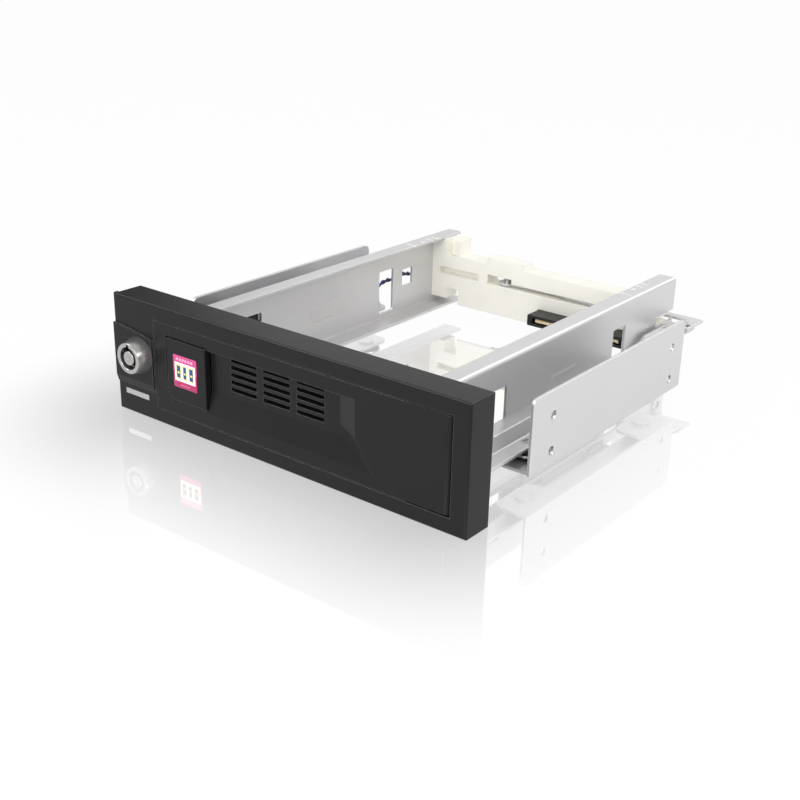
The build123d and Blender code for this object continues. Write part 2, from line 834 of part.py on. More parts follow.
def make_grommets():
    """Two rubber discs at each damper, rounded round their rims."""
    discs = []
    for z0, z1 in rubber_spans():
        disc = rod_z(grommet_r, z0, z1, 0, 0)
        disc = fillet(disc.edges().filter_by(GeomType.CIRCLE), 0.4)
        disc -= rod_z(grommet_bore_r, z0 - 1, z1 + 1, 0, 0)
        for x, y in damper_places():
            discs.append(Pos(x, y, 0) * disc)
    return several(discs)


def make_washers():
    """Steel ring between the two rubbers of each damper."""
    z0 = rubber_spans()[0][1]
    z1 = z0 + damper_ring_t
    return several([rod_z(damper_ring_r, z0, z1, x, y) - rod_z(m3_r + screw_clear, z0 - 1, z1 + 1, x, y)
                    for x, y in damper_places()])


def make_damper_nuts():
    """Clinch nuts: shank flush in the bracket's foot, hexagonal body in the upper rubber's bore."""
    under = foot_z - sheet
    nuts = []
    for x, y in damper_places():
        nut = hex_z(m3_nut_flats, under - clinch_body_t, under, x, y) + rod_z(clinch_r, under - 0.1, foot_z, x, y)
        nuts.append(nut - rod_z(m3_r + seat_gap, under - 4, foot_z + 1, x, y))
    return several(nuts)


def make_damper_screws():
    screws = []
    for x, y in damper_places():
        head = rod_z(flat_head_r, wing_low - flat_head_t, wing_low, x, y)
        screws.append(head + rod_z(m3_r, wing_low - flat_head_t / 2, foot_z - gap, x, y))
    return several(screws)


def make_cross_member():
    """Moulded rear beam: pillars, upper beam, lower panel and the slot for the lever."""
    end = rail_x - sheet
    top = rail_high - sheet
    member = block(-end, end, beam_front, beam_rear, prong_split_high, beam_high)
    member += block(-end, block_left, beam_front, beam_rear, foot_notch_high, beam_high)
    member += block(-end, -post_in, beam_front, beam_rear, pillar_low, top)
    member += block(pillar_in, end, beam_front, beam_rear, pillar_low, prong_split_low)
    member += block(pillar_in, end, beam_front, beam_rear, prong_split_high, top)
    member += block(-post_in, end, beam_front, beam_front + panel_t, panel_low, prong_split_low)
    member += block(block_left, end, beam_front, beam_rear, prong_split_low - lower_rib_t, prong_split_low)
    member += block(block_left, block_right, beam_front, beam_front + block_depth, beam_high, block_high)
    member = round_along(member, Axis.Y, bend_r - sheet + 0.2, lambda c: abs(c.X) > end - 0.01 and c.Z > top - 0.01)
    member -= block(-pillar_in, -post_in, beam_front - 1, beam_rear + 1, pillar_low - 1, foot_notch_high)
    cut_y = beam_front + slot_depth
    member -= block(slot_left, slot_right, beam_front - 1, cut_y, beam_high, top + 1)
    member -= block(groove_left, groove_right, beam_front - 1, cut_y, groove_low, groove_high)
    member -= block(block_left, window_right, beam_front - 1, beam_rear - 1, prong_split_low, window_top)
    # Hollow upper beam, open at the rear, with a solid core round the pivot
    shell = 1.5
    member -= block(-post_in + shell, pillar_in - shell, beam_front + shell, beam_rear + 1,
                    prong_split_high + shell, beam_high - shell)
    member += block(pivot_x - 4, pivot_x + 4, beam_front + 1, beam_rear, window_top, beam_high - 1)
    member -= rod_z(pivot_r + seat_gap, pivot_low(), pivot_high(), pivot_x, pivot_y)
    sata_gap = 0.1
    member -= block(sata_left - sata_gap, sata_right + sata_gap, beam_front - 1, beam_front + 4,
                    sata_low - sata_gap, sata_high + sata_gap)
    for side in (-1, 1):
        x0, x1 = side * (end - 6), side * (end + 1)
        member -= rod_x(m3_r + seat_gap, x0, x1, member_screw_y(), member_screw_z)
    return member


def pivot_low():
    return prong_split_low - lower_rib_t


def pivot_high():
    return block_high - 1.5


def make_pivot_pin():
    return rod_z(pivot_r, pivot_low(), pivot_high(), pivot_x, pivot_y)


def make_eject_lever():
    """Flat lever: hub, slanting arm, pusher nose, end strip and hooked end."""
    z0 = lever_low
    z1 = lever_low + lever_t
    arm_in = lever_end_x - lever_arm_w
    strip_front = lever_rear - lever_w
    points = [
        (pivot_x, pivot_y - lever_root), (nose_left - nose_ramp, nose_root_left), (nose_left, nose_front),
        (nose_right, nose_front), (nose_right + nose_ramp, nose_root_right),
        (rail_x - lever_bend, strip_front), (arm_in, strip_front), (arm_in, lever_arm_front),
        (lever_end_x, lever_arm_front), (lever_end_x, lever_rear), (rail_x - lever_bend - 1, lever_rear),
        (pivot_x, pivot_y + lever_root),
    ]
    lever = plan(points, z0, z1) + rod_z(lever_hub_r, z0, z1, pivot_x, pivot_y)
    lever -= rod_z(pivot_r + run_gap, z0 - 1, z1 + 1, pivot_x, pivot_y)
    # Slot that lets the link pin slip sideways as the lever turns
    slot_half = link_r + link_slack
    lever -= block(link_x, link_x + link_slip, link_y - slot_half, link_y + slot_half, z0 - 1, z1 + 1)
    for x in (link_x, link_x + link_slip):
        lever -= rod_z(slot_half, z0 - 1, z1 + 1, x, link_y)
    return lever


def make_slide_bar():
    """Strip under the right ledge, rising at the rear to the lever, with a fork for the door's crank."""
    x0 = bar_x()
    rise = link_tab_top - bar_top
    side = [(crank_y - 2.5, bar_top), (bar_rise[0], bar_top), (bar_rise[1], link_tab_top), (link_y + 4, link_tab_top)]
    side += [(y, z - bar_height) for y, z in
             ((link_y + 4, link_tab_top), (bar_rise[1] + rise / 3, link_tab_top), (bar_rise[0] + rise / 3, bar_top),
              (crank_y - 2.5, bar_top))]
    strip = extrude(make_face(Polyline(*[(x0, y, z) for y, z in side], close=True)), amount=sheet, dir=(1, 0, 0))
    for y in guide_ys:
        z = bar_top - bar_height / 2
        half = guide_r + run_gap
        strip -= block(x0 - 1, x0 + 3, y - half, y + slide_travel + half, z - half, z + half)
    strip += block(x0, lever_end_x - 0.4, link_y - 3, link_y + 4, link_tab_top - sheet, link_tab_top)
    fork_half = crank_pin_r + fork_slack
    wall = 1.3
    z1 = bar_top
    fork = block(x0, crank_x + 1.4, crank_y - fork_half - wall, crank_y + fork_half + wall, z1 - sheet, z1)
    fork -= block(crank_x - 4.2, crank_x + 5, crank_y - fork_half, crank_y + fork_half, z1 - 2, z1 + 1)
    bar = strip + fork
    return bar - rod_z(link_r + seat_gap, link_tab_top - 2, link_tab_top + 1, link_x, link_y)


def bar_x():
    """Inner face of the slide bar, clear of the bracket's weld tabs."""
    return rail_x + sheet + bar_gap


def make_link_pin():
    pin = rod_z(link_r, link_tab_top - sheet - 0.2, lever_low + lever_t + 0.3, link_x, link_y)
    head_z = lever_low + lever_t + 0.1
    return pin + rod_z(link_r + 0.7, head_z, head_z + 0.6, link_x, link_y)


def make_guide_rivets():
    rivets = []
    z = bar_top - bar_height / 2
    x0 = bar_x() + sheet + 0.1
    for y in guide_ys:
        rivet = rod_x(guide_r, rail_x - sheet + seat_gap, x0 + guide_head_t / 2, y, z)
        rivets.append(rivet + rod_x(guide_head_r, x0, x0 + guide_head_t, y, z))
    return several(rivets)


def board_front():
    return beam_front + panel_t


def make_backplane():
    y0 = board_front()
    return block(board_left, board_right, y0, y0 + board_t, board_low, board_high)


def make_board_screws():
    screws = []
    for x in (board_left + 2.6, board_right - 2.0):
        y1 = board_front() + board_t
        screws.append(rod_y(1.9, y1, y1 + 1.0, x, board_high - 2.2))
    return several(screws)


def make_sata_receptacle():
    """Receptacle with a guide boss at each end and the tongue's slot open to the front."""
    y1 = board_front()
    body = block(sata_left, sata_right, sata_front, y1, sata_low, sata_high)
    body = fillet([e for e in body.edges().filter_by(Axis.Y)], 0.5)
    hollow = block(sata_left + sata_boss, sata_right - sata_boss, sata_front - 1, y1 - sata_back,
                   sata_low + sata_wall, sata_high - sata_wall)
    return body - hollow


def tongue_spans():
    """Left and right ends of the signal tongue and of the power tongue."""
    x0 = sata_left + tongue_in
    x1 = x0 + signal_len
    return (x0, x1), (x1 + tongue_gap, sata_right - tongue_in)


def make_sata_tongue():
    """Contact tongue in two stretches, for signal and power."""
    y1 = board_front() - sata_back
    z0 = (sata_low + sata_high - tongue_t) / 2
    return several([block(x0, x1, sata_front + tongue_back, y1, z0, z0 + tongue_t) for x0, x1 in tongue_spans()])


def make_sata_contacts():
    """Spring contacts on the tongues' upper faces, centred on each."""
    z0 = (sata_low + sata_high + tongue_t) / 2
    contacts = []
    for (x0, x1), count in zip(tongue_spans(), (signal_contacts, power_contacts)):
        first = (x0 + x1 - (count - 1) * contact_pitch) / 2
        for k in range(count):
            x = first + k * contact_pitch
            contacts.append(block(x - contact_w / 2, x + contact_w / 2, sata_front + 2 * tongue_back,
                                  board_front() - sata_back, z0, z0 + contact_t))
    return several(contacts)


def make_port(span):
    """Shrouded rear connector with its tongue."""
    x0, x1 = span
    y0 = board_front() + board_t
    shell = block(x0, x1, y0, y0 + port_depth, port_low, port_high)
    shell -= block(x0 + 1, x1 - 1, y0 + 1.5, y0 + port_depth + 1, port_low + 1, port_high - 1)
    middle = (port_low + port_high) / 2
    return shell + block(x0 + 2, x1 - 2, y0 + 1, y0 + port_depth - 0.8, middle - 0.6, middle + 0.6)


def export_node(part, name):
    part = Pos(0, -mid_y, 0) * part
    export_step(part, os.path.join("parts", name + ".step"))


NODES = {
    "front_bezel": make_bezel,
    "bezel_screws": make_bezel_screws,
    "door": make_door,
    "door_hinge_pins": make_hinge_pins,
    "crank_pin": make_crank_pin,
    "release_plate": make_release_plate,
    "release_pins": make_release_pins,
    "release_label": make_label,
    "lock_barrel": make_lock_barrel,
    "lock_plug": make_lock_plug,
    "lock_cam": make_lock_cam,
    "lock_nut": make_lock_nut,
    "lock_housing": make_lock_housing,
    "light_bar": make_light_bar,
    "light_board": make_led_board,
    "light_lead": make_light_lead,
    "lead_plug": make_lead_plug,
    "right_side_rail": lambda: make_side_rail(1),
    "left_side_rail": lambda: make_side_rail(-1),
    "right_float_bracket": lambda: make_float_bracket(1),
    "left_float_bracket": lambda: make_float_bracket(-1),
    "right_mounting_wing": lambda: make_wing(1),
    "left_mounting_wing": lambda: make_wing(-1),
    "damper_grommets": make_grommets,
    "damper_washers": make_washers,
    "damper_nuts": make_damper_nuts,
    "damper_screws": make_damper_screws,
    "rear_cross_member": make_cross_member,
    "cross_member_screws": make_member_screws,
    "lever_pivot_pin": make_pivot_pin,
    "eject_lever": make_eject_lever,
    "slide_bar": make_slide_bar,
    "link_pin": make_link_pin,
    "guide_rivets": make_guide_rivets,
    "backplane_board": make_backplane,
    "board_screws": make_board_screws,
    "sata_receptacle": make_sata_receptacle,
    "sata_tongue": make_sata_tongue,
    "sata_contacts": make_sata_contacts,
    "rear_data_port": lambda: make_port(data_port),
    "rear_power_port": lambda: make_port(power_port),
}

os.makedirs("parts", exist_ok=True)
for node, make in NODES.items():
    export_node(make(), node)
print("depth of the origin behind the bezel's back face", round(mid_y, 3))
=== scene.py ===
import json
import math

import bmesh
import bpy
import numpy as np
from bpy.props import FloatProperty, FloatVectorProperty, IntProperty, PointerProperty
from mathutils import Euler, Matrix, Vector


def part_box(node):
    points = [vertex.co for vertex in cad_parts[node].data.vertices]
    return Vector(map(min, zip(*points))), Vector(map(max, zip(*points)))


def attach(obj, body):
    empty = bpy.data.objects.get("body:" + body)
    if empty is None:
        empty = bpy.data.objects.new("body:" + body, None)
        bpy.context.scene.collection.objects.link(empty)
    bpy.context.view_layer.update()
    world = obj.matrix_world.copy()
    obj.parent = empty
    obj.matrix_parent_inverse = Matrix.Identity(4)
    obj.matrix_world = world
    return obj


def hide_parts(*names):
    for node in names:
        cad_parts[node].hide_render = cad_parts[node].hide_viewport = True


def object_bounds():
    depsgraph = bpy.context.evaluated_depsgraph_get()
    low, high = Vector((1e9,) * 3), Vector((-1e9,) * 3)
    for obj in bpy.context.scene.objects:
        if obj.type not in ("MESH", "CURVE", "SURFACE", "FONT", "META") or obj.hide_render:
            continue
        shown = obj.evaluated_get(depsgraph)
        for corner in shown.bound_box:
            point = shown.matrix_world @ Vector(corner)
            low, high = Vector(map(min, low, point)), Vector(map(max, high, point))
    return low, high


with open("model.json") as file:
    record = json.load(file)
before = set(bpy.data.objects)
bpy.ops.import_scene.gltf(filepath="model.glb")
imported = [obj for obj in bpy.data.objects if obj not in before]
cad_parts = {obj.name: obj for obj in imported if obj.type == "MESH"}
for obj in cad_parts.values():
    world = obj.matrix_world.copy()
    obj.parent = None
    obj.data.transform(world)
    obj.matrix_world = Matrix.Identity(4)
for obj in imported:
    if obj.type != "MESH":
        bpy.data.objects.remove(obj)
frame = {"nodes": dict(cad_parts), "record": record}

bl_info = {
    "name": "Hot Swap Drive Cage",
    "version": (1, 0, 0),
    "blender": (4, 5, 0),
    "location": "3D View > Sidebar > Drive Cage",
    "description": "Dresses the drive cage's solids with turned, moulded and printed pieces and their finishes",
    "category": "Object",
}

CAD_BOX = [list(corner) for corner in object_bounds()]
MM = 0.001
PARTS = frame["nodes"]
# In millimetres: depth of the frame's origin behind the bezel's back face, thickness of the door's skin, depth
# of the door's bulge behind the vents, thickness of the folded sheet, and height of the rails' top flanges
BACK = 68.75
DOOR_SKIN = 2.2
DOOR_BULGE = 6.2
SHEET = 1.0
RAIL_TOP = 36.4
SLOT_OF = {part["node"]: part["material_slot"] for part in frame["record"]["subparts"]}


def srgb(code):
    """Linear RGB of an sRGB hex colour."""
    value = np.array([int(code[i:i + 2], 16) for i in (1, 3, 5)]) / 255
    return tuple(np.where(value <= 0.04045, value / 12.92, ((value + 0.055) / 1.055) ** 2.4).tolist())


def colour(name, description, code):
    """A colour that the panel offers, given as sRGB hex."""
    return FloatVectorProperty(name=name, description=description, default=srgb(code), subtype="COLOR",
                               size=3, min=0, max=1)


def length(name, description, mm):
    """A length that the panel offers, given in millimetres."""
    return FloatProperty(name=name, description=description, default=mm * MM, unit="LENGTH", min=0, precision=5)


class CageSizes(bpy.types.PropertyGroup):
    """Sizes of the pieces made here."""
    strand: length("Strand", "Diameter of one insulated strand of the light's lead", 0.9)
    twist: length("Twist", "Length over which the lead's two strands go once round each other", 7.0)
    key_pin: length("Key pin", "Diameter of the pins in the lock's keyway", 1.1)
    rubber_edge: length("Rubber edge", "Radius of the rounded rims of the damping rubbers", 0.6)
    soft_edge: length("Soft edge", "Radius that light sees on the edges of mouldings", 0.35)
    # The width of the painted highlight along the edges of the sheet
    edge_highlight_width: length("Sheared edge", "Width of the milky plate along the edges of the sheet", 0.5)
    label_corner: length("Label corner", "Corner radius of the printed label", 0.5)
    turns: IntProperty(name="Steps", description="Steps round a turned piece", default=96, min=24, max=256)


class CageColours(bpy.types.PropertyGroup):
    """Colours of the finishes."""
    moulding: colour("Moulding", "Charcoal ABS of bezel, door and release plate", "#1b1a1c")
    sheet: colour("Sheet", "Zinc plated sheet of rails, brackets and wings", "#d8d7d8")
    nickel: colour("Nickel", "Satin plate of the lock", "#b0afae")
    beam: colour("Beam", "Ivory ABS of the rear cross member", "#faf8ee")
    light: colour("Light bar", "Milky light guide, unlit", "#a2a2a2")
    label_top: colour("Label top", "Upper band of the printed label", "#cb4a86")
    label_low: colour("Label foot", "Lower band of the printed label", "#ad0d5c")
    # The colour of the white fill in the marks stamped into the rails
    paint: colour("Paint", "Paint in the marks stamped into the rails", "#f7f7f5")
    strand_a: colour("First strand", "Black insulation", "#161618")
    strand_b: colour("Second strand", "Blue insulation", "#172a78")


def put(tree, kind, inputs=None, **settings):
    """Adds one shader node with its settings; an input is a value, or a socket to link from."""
    made = tree.nodes.new("ShaderNode" + kind)
    for name, value in settings.items():
        setattr(made, name, value)
    for name, value in (inputs or {}).items():
        socket = made.inputs[name]
        if isinstance(value, bpy.types.NodeSocket):
            tree.links.new(value, socket)
        elif socket.type == "RGBA":
            socket.default_value = (*value[:3], 1)
        else:
            socket.default_value = value
    return made


def finish(name, surface):
    """A new material whose surface(tree, place) returns the last shader; place is Object coordinates."""
    material = bpy.data.materials.new(name)
    material.use_nodes = True
    tree = material.node_tree
    tree.nodes.clear()
    place = put(tree, "TexCoord").outputs["Object"]
    put(tree, "OutputMaterial", {"Surface": surface(tree, place).outputs[0]})
    return material


def patchy(tree, place, size_mm, stretch=(1, 1, 1), detail=2.0):
    """A value that wanders between 0 and 1 in soft patches of size_mm, drawn out where stretch is under 1."""
    across = put(tree, "Mapping", {"Vector": place, "Scale": stretch})
    return put(tree, "TexNoise", {"Vector": across.outputs[0], "Scale": 1 / (size_mm * MM),
                                  "Detail": detail}).outputs["Fac"]


def varied(tree, place, base, size_mm, spread):
    """The colour base, lighter and darker by spread in soft patches of size_mm."""
    low = [c * (1 - spread) for c in base]
    high = [min(1, c * (1 + spread)) for c in base]
    return put(tree, "Mix", {0: patchy(tree, place, size_mm, detail=3.0), 6: low, 7: high},
               data_type="RGBA").outputs[2]


def rounded_edges(tree, radius):
    """Normals that turn round the edges a little, and a share that is 1 on the edges and 0 on the faces."""
    rounded = put(tree, "Bevel", {"Radius": radius}, samples=6).outputs[0]
    flat = put(tree, "NewGeometry").outputs["True Normal"]
    alike = put(tree, "VectorMath", {0: rounded, 1: flat}, operation="DOT_PRODUCT").outputs["Value"]
    share = put(tree, "MapRange", {"Value": alike, "From Min": 0.95, "From Max": 0.83, "To Min": 0.0,
                                   "To Max": 1.0})
    return rounded, share.outputs[0]


def edged(tree, face, edge, share, most):
    """The face's colour or value, moved to the edge's where the share is 1, by the most given."""
    part = put(tree, "Math", {0: share, 1: most}, operation="MULTIPLY").outputs[0]
    if isinstance(edge, tuple):
        return put(tree, "Mix", {0: part, 6: face, 7: edge}, data_type="RGBA").outputs[2]
    return put(tree, "Mix", {0: part, 2: face, 3: edge}, data_type="FLOAT").outputs[0]


def bumped(tree, place, rounded, size_mm, depth_mm, stretch=(1, 1, 1)):
    """Normals of a fine relief with bumps of size_mm and the given depth, on the normals given."""
    return put(tree, "Bump", {"Height": patchy(tree, place, size_mm, stretch), "Distance": depth_mm * MM,
                              "Strength": 0.5, "Normal": rounded}).outputs[0]


def spread_between(tree, place, size_mm, low, high, stretch=(1, 1, 1)):
    """A value that wanders between low and high in patches of size_mm."""
    return put(tree, "MapRange", {"Value": patchy(tree, place, size_mm, stretch), "To Min": low,
                                  "To Max": high}).outputs[0]


def threads(tree, place, spacing_mm, way):
    """Waves that lie side by side along the axis given, one to each spacing_mm."""
    # At scale 1 the texture has 20 waves in 2 pi
    return put(tree, "TexWave", {"Vector": place, "Scale": 2 * math.pi / (20 * spacing_mm * MM)},
               bands_direction=way).outputs["Fac"]


def moulded(name, base, grain_mm, relief_mm, rough, specular=0.5, ior=1.46, edge_highlight=None):
    """Moulded plastic: an even colour, a fine spark-eroded grain, a slightly uneven sheen. The paler colour given
    for the edges is a painted highlight along them."""
    def surface(tree, place):
        rounded, share = rounded_edges(tree, bpy.context.scene.cage_sizes.soft_edge)
        tint = varied(tree, place, base, 6, 0.04)
        sheen = spread_between(tree, place, 9, rough - 0.03, rough + 0.03)
        # Along the edges the base colour turns paler: a painted highlight
        return put(tree, "BsdfPrincipled", {
            "Base Color": edged(tree, tint, edge_highlight, share, 0.8) if edge_highlight else tint,
            "Roughness": edged(tree, sheen, 0.6 * rough, share, 1.0),
            "IOR": ior, "Specular IOR Level": specular,
            "Normal": bumped(tree, place, rounded, grain_mm, relief_mm)})
    return finish(name, surface)


def metal(name, base, rough, streak_mm, stretch, relief_mm, metallic=1.0, edge=None, painted_recess_shade=None):
    """Metal: streaks of rolling or turning in its roughness and relief. Edge is a paler, less metallic colour
    painted along sheared edges and bends as a highlight, and the colour given for recesses is painted shade in
    narrow recesses."""
    def surface(tree, place):
        sizes = bpy.context.scene.cage_sizes
        rounded, share = rounded_edges(tree, sizes.edge_highlight_width if edge else 0.5 * sizes.soft_edge)
        tint = varied(tree, place, base, 14, 0.025)
        if painted_recess_shade:
            # Open to 2 mm round it counts as face, closed in on all sides as recess, where the colour turns to
            # the painted shade
            unshaded_share = put(tree, "AmbientOcclusion", {"Distance": 2 * MM}, samples=8).outputs["AO"]
            face = put(tree, "MapRange", {"Value": unshaded_share, "From Min": 0.25, "From Max": 0.6}).outputs[0]
            tint = put(tree, "Mix", {0: face, 6: painted_recess_shade, 7: tint}, data_type="RGBA").outputs[2]
        # Along edges and bends the colour turns paler and less metallic: a painted highlight
        return put(tree, "BsdfPrincipled", {
            "Base Color": edged(tree, tint, edge, share, 1.0) if edge else tint,
            "Metallic": edged(tree, metallic, 0.3, share, 1.0) if edge else metallic,
            "Roughness": spread_between(tree, place, streak_mm, rough - 0.05, rough + 0.05, stretch),
            "Normal": bumped(tree, place, rounded, streak_mm, relief_mm, stretch)})
    return finish(name, surface)


def circuit_surface(tree, place):
    """Glass epoxy under green mask, with the weave of the glass cloth: 0.5 mm a thread, so 1 mm a wave."""
    weave = threads(tree, place, 1.0, "X")
    tint = put(tree, "Mix", {0: weave, 6: srgb("#0f3a1c"), 7: srgb("#14502a")}, data_type="RGBA")
    return put(tree, "BsdfPrincipled", {"Base Color": tint.outputs[2], "Roughness": 0.35, "IOR": 1.55})


def shade_sheet_surface(tree, place):
    """A black woven sheet behind the vents, painted shade that keeps them dark: threads both ways, drawn 0.6 mm
    apart, twice the mesh of fine polyester cloth, so that they show.
    """
    along, across = threads(tree, place, 0.6, "X"), threads(tree, place, 0.6, "Z")
    weave = put(tree, "Math", {0: along, 1: across}, operation="MAXIMUM").outputs[0]
    tint = put(tree, "Mix", {0: weave, 6: srgb("#060606"), 7: srgb("#141414")}, data_type="RGBA").outputs[2]
    raised = put(tree, "Bump", {"Height": weave, "Distance": 0.05 * MM, "Strength": 0.6}).outputs[0]
    return put(tree, "BsdfPrincipled", {"Base Color": tint, "Roughness": 0.7, "Specular IOR Level": 0.2,
                                        "Normal": raised})


def label_surface(tree, place):
    """Printed film under a clear laminate: two bands of ink, a white field with three blue bars in yellow
    frames, and a row of pale dashes on each band."""
    colours = bpy.context.scene.cage_colours
    low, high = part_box("release_label")
    wide, tall = high.x - low.x, high.z - low.z
    across = put(tree, "SeparateXYZ", {"Vector": place})
    upper = put(tree, "Math", {0: across.outputs["Z"], 1: (low.z + high.z) / 2}, operation="GREATER_THAN")
    ink = put(tree, "Mix", {0: upper.outputs[0], 6: tuple(colours.label_low), 7: tuple(colours.label_top)},
              data_type="RGBA").outputs[2]

    # Each patch: left and right end as shares of the width, foot and head as shares of the height, its ink
    margin = 0.7 * MM / wide
    patches = [(margin, 1 - margin, 0.2, 0.78, "#f2f3f8")]
    for left, right in ((0.12, 0.33), (0.4, 0.58), (0.66, 0.87)):
        patches.append((left, right, 0.27, 0.72, "#e6dc86"))
        patches.append((left + 0.03, right - 0.03, 0.31, 0.68, "#154a7f"))
        patches.append((left + 0.06, right - 0.06, 0.44, 0.5, "#e6dc86"))
    for step in range(6):
        patches.append((0.13 + 0.125 * step, 0.21 + 0.125 * step, 0.84, 0.92, "#f3a6c9"))
        patches.append((0.3 + 0.07 * step, 0.34 + 0.07 * step, 0.08, 0.11, "#e67fb0"))
    for left, right, foot, head, code in patches:
        inside = 1.0
        for axis, end, operation in (("X", low.x + left * wide, "GREATER_THAN"),
                                     ("X", low.x + right * wide, "LESS_THAN"),
                                     ("Z", low.z + foot * tall, "GREATER_THAN"),
                                     ("Z", low.z + head * tall, "LESS_THAN")):
            past = put(tree, "Math", {0: across.outputs[axis], 1: end}, operation=operation).outputs[0]
            inside = put(tree, "Math", {0: inside, 1: past}, operation="MULTIPLY").outputs[0]
        ink = put(tree, "Mix", {0: inside, 6: ink, 7: srgb(code)}, data_type="RGBA").outputs[2]
    return put(tree, "BsdfPrincipled", {"Base Color": ink, "Roughness": 0.25, "IOR": 1.5,
                                        "Coat Weight": 0.2, "Coat Roughness": 0.1})


def strand_surface(tree, place):
    """PVC insulation, smooth and a little glossy; each strand's colour comes from the piece's own attribute."""
    colours = bpy.context.scene.cage_colours
    which = put(tree, "Attribute", attribute_name="strand")
    tint = put(tree, "Mix", {0: which.outputs["Fac"], 6: tuple(colours.strand_a), 7: tuple(colours.strand_b)},
               data_type="RGBA")
    return put(tree, "BsdfPrincipled", {
        "Base Color": tint.outputs[2], "IOR": 1.53,
        "Roughness": spread_between(tree, place, 3, 0.3, 0.42)})


def make_finishes():
    """One material for each material slot of the record."""
    c = bpy.context.scene.cage_colours
    rolled = (1, 0.05, 1)
    even = (1, 1, 1)
    return {
        # Charcoal ABS, injection moulded with a fine spark-eroded grain: dull, with a soft sheen at low angles,
        # and a painted highlight along its edges
        "black_abs": moulded("charcoal_abs_grained", tuple(c.moulding), 0.35, 0.01, 0.3, 0.2,
                             edge_highlight=srgb("#6e6e70")),
        # Film printed and laminated: flat ink under a clear, slightly glossy skin
        "printed_label": finish("printed_laminated_film", label_surface),
        # Satin nickel on a turned lock: milky highlights, faint turning marks, and painted shade, nearly black,
        # in the keyway and other recesses
        "nickel_plate": metal("satin_nickel_plate", tuple(c.nickel), 0.22, 0.8, even, 0.003, 0.85,
                              painted_recess_shade=srgb("#121212")),
        # Zinc plated steel screws, nuts, pins: grey and slightly milky
        "zinc_steel": metal("zinc_plated_steel", srgb("#c4c4c6"), 0.3, 0.6, even, 0.006),
        # Moulded nylon: nearly black, or its natural cream, with a waxy sheen
        "black_nylon": moulded("black_nylon_moulded", srgb("#161616"), 0.3, 0.02, 0.5),
        "white_nylon": moulded("natural_nylon_moulded", srgb("#e9e6da"), 0.3, 0.01, 0.4),
        # Diffusing polycarbonate: milky and smooth
        "light_guide": moulded("milky_polycarbonate", tuple(c.light), 0.4, 0.004, 0.2, 0.5, 1.58),
        # Glass epoxy board: dark green, its cloth just showing
        "circuit_board": finish("glass_epoxy_board", circuit_surface),
        # Extruded PVC: smooth, with a little gloss
        "lead_sheath": finish("pvc_insulation", strand_surface),
        # Zinc plated sheet, cold rolled: satin, with faint streaks along the rolling direction, and a painted
        # highlight along its edges and bends
        "plated_sheet": metal("zinc_plated_cold_rolled_sheet", tuple(c.sheet), 0.36, 0.7, rolled, 0.004, 0.68,
                              srgb("#f2f2f2")),
        # Nitrile rubber, moulded: dull and dark
        "black_rubber": moulded("nitrile_rubber_moulded", srgb("#1a1a1a"), 0.25, 0.02, 0.6),
        # Ivory ABS, moulded with a fine grain: even and softly dull
        "ivory_abs": moulded("ivory_abs_grained", tuple(c.beam), 0.35, 0.015, 0.42, 0.5),
        # Liquid crystal polymer of connectors, moulded: crisp, dull, black or beige
        "black_lcp": moulded("black_liquid_crystal_polymer", srgb("#181818"), 0.25, 0.01, 0.4),
        # The beige is a painted highlight: it stands for a glint on a connector tongue that is black
        "beige_lcp": moulded("glint_painted_beige_polymer", srgb("#dccba6"), 0.25, 0.01, 0.4),
        # Gold flash over nickel on stamped bronze springs
        "gold_contacts": metal("gold_flashed_bronze", srgb("#e0bd62"), 0.22, 0.4, even, 0.003),
    }


def surface_piece(name, grid, wrap_u=False, wrap_v=False):
    """Mesh object of a surface given as a grid of points, u by v by 3; wrapped ways are joined end to end.
    Points that fall together at a pole become one, and the faces are turned outwards."""
    rows, columns = grid.shape[:2]
    index = np.arange(rows * columns).reshape(rows, columns)
    if wrap_u:
        index = np.concatenate([index, index[:1]], axis=0)
    if wrap_v:
        index = np.concatenate([index, index[:, :1]], axis=1)
    quads = np.stack([index[:-1, :-1], index[1:, :-1], index[1:, 1:], index[:-1, 1:]], axis=-1).reshape(-1, 4)
    mesh = bpy.data.meshes.new(name)
    mesh.from_pydata(grid.reshape(-1, 3).tolist(), [], quads.tolist())
    shape = bmesh.new()
    shape.from_mesh(mesh)
    bmesh.ops.remove_doubles(shape, verts=shape.verts, dist=1e-7)
    bmesh.ops.recalc_face_normals(shape, faces=shape.faces)
    shape.to_mesh(mesh)
    shape.free()
    piece = bpy.data.objects.new(name, mesh)
    bpy.context.collection.objects.link(piece)
    return piece


def joined(name, pieces):
    """One object from several, kept at the origin."""
    shape = bmesh.new()
    for piece in pieces:
        shape.from_mesh(piece.data)
        mesh = piece.data
        bpy.data.objects.remove(piece)
        bpy.data.meshes.remove(mesh)
    mesh = bpy.data.meshes.new(name)
    shape.to_mesh(mesh)
    shape.free()
    whole = bpy.data.objects.new(name, mesh)
    bpy.context.collection.objects.link(whole)
    return whole


def smoothed(piece, degrees=35):
    """Smooth shading with sharp edges where faces meet at more than the angle."""
    piece.data.shade_smooth()
    piece.data.set_sharp_from_angle(angle=math.radians(degrees))
    return piece


def dressed(piece, slot, body, *stands_for):
    """Gives the piece its finish, lets it ride on its body and stand for its solids."""
    piece.data.materials.append(FINISHES[slot])
    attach(piece, body)
    if stands_for:
        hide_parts(*stands_for)
    return piece


def rounded_corner(centre, radius, start, end, steps=6):
    """Points of an arc of that radius about the centre, from start to end in degrees."""
    angle = np.radians(np.linspace(start, end, steps))
    return [(centre[0] + radius * math.cos(a), centre[1] + radius * math.sin(a)) for a in angle]


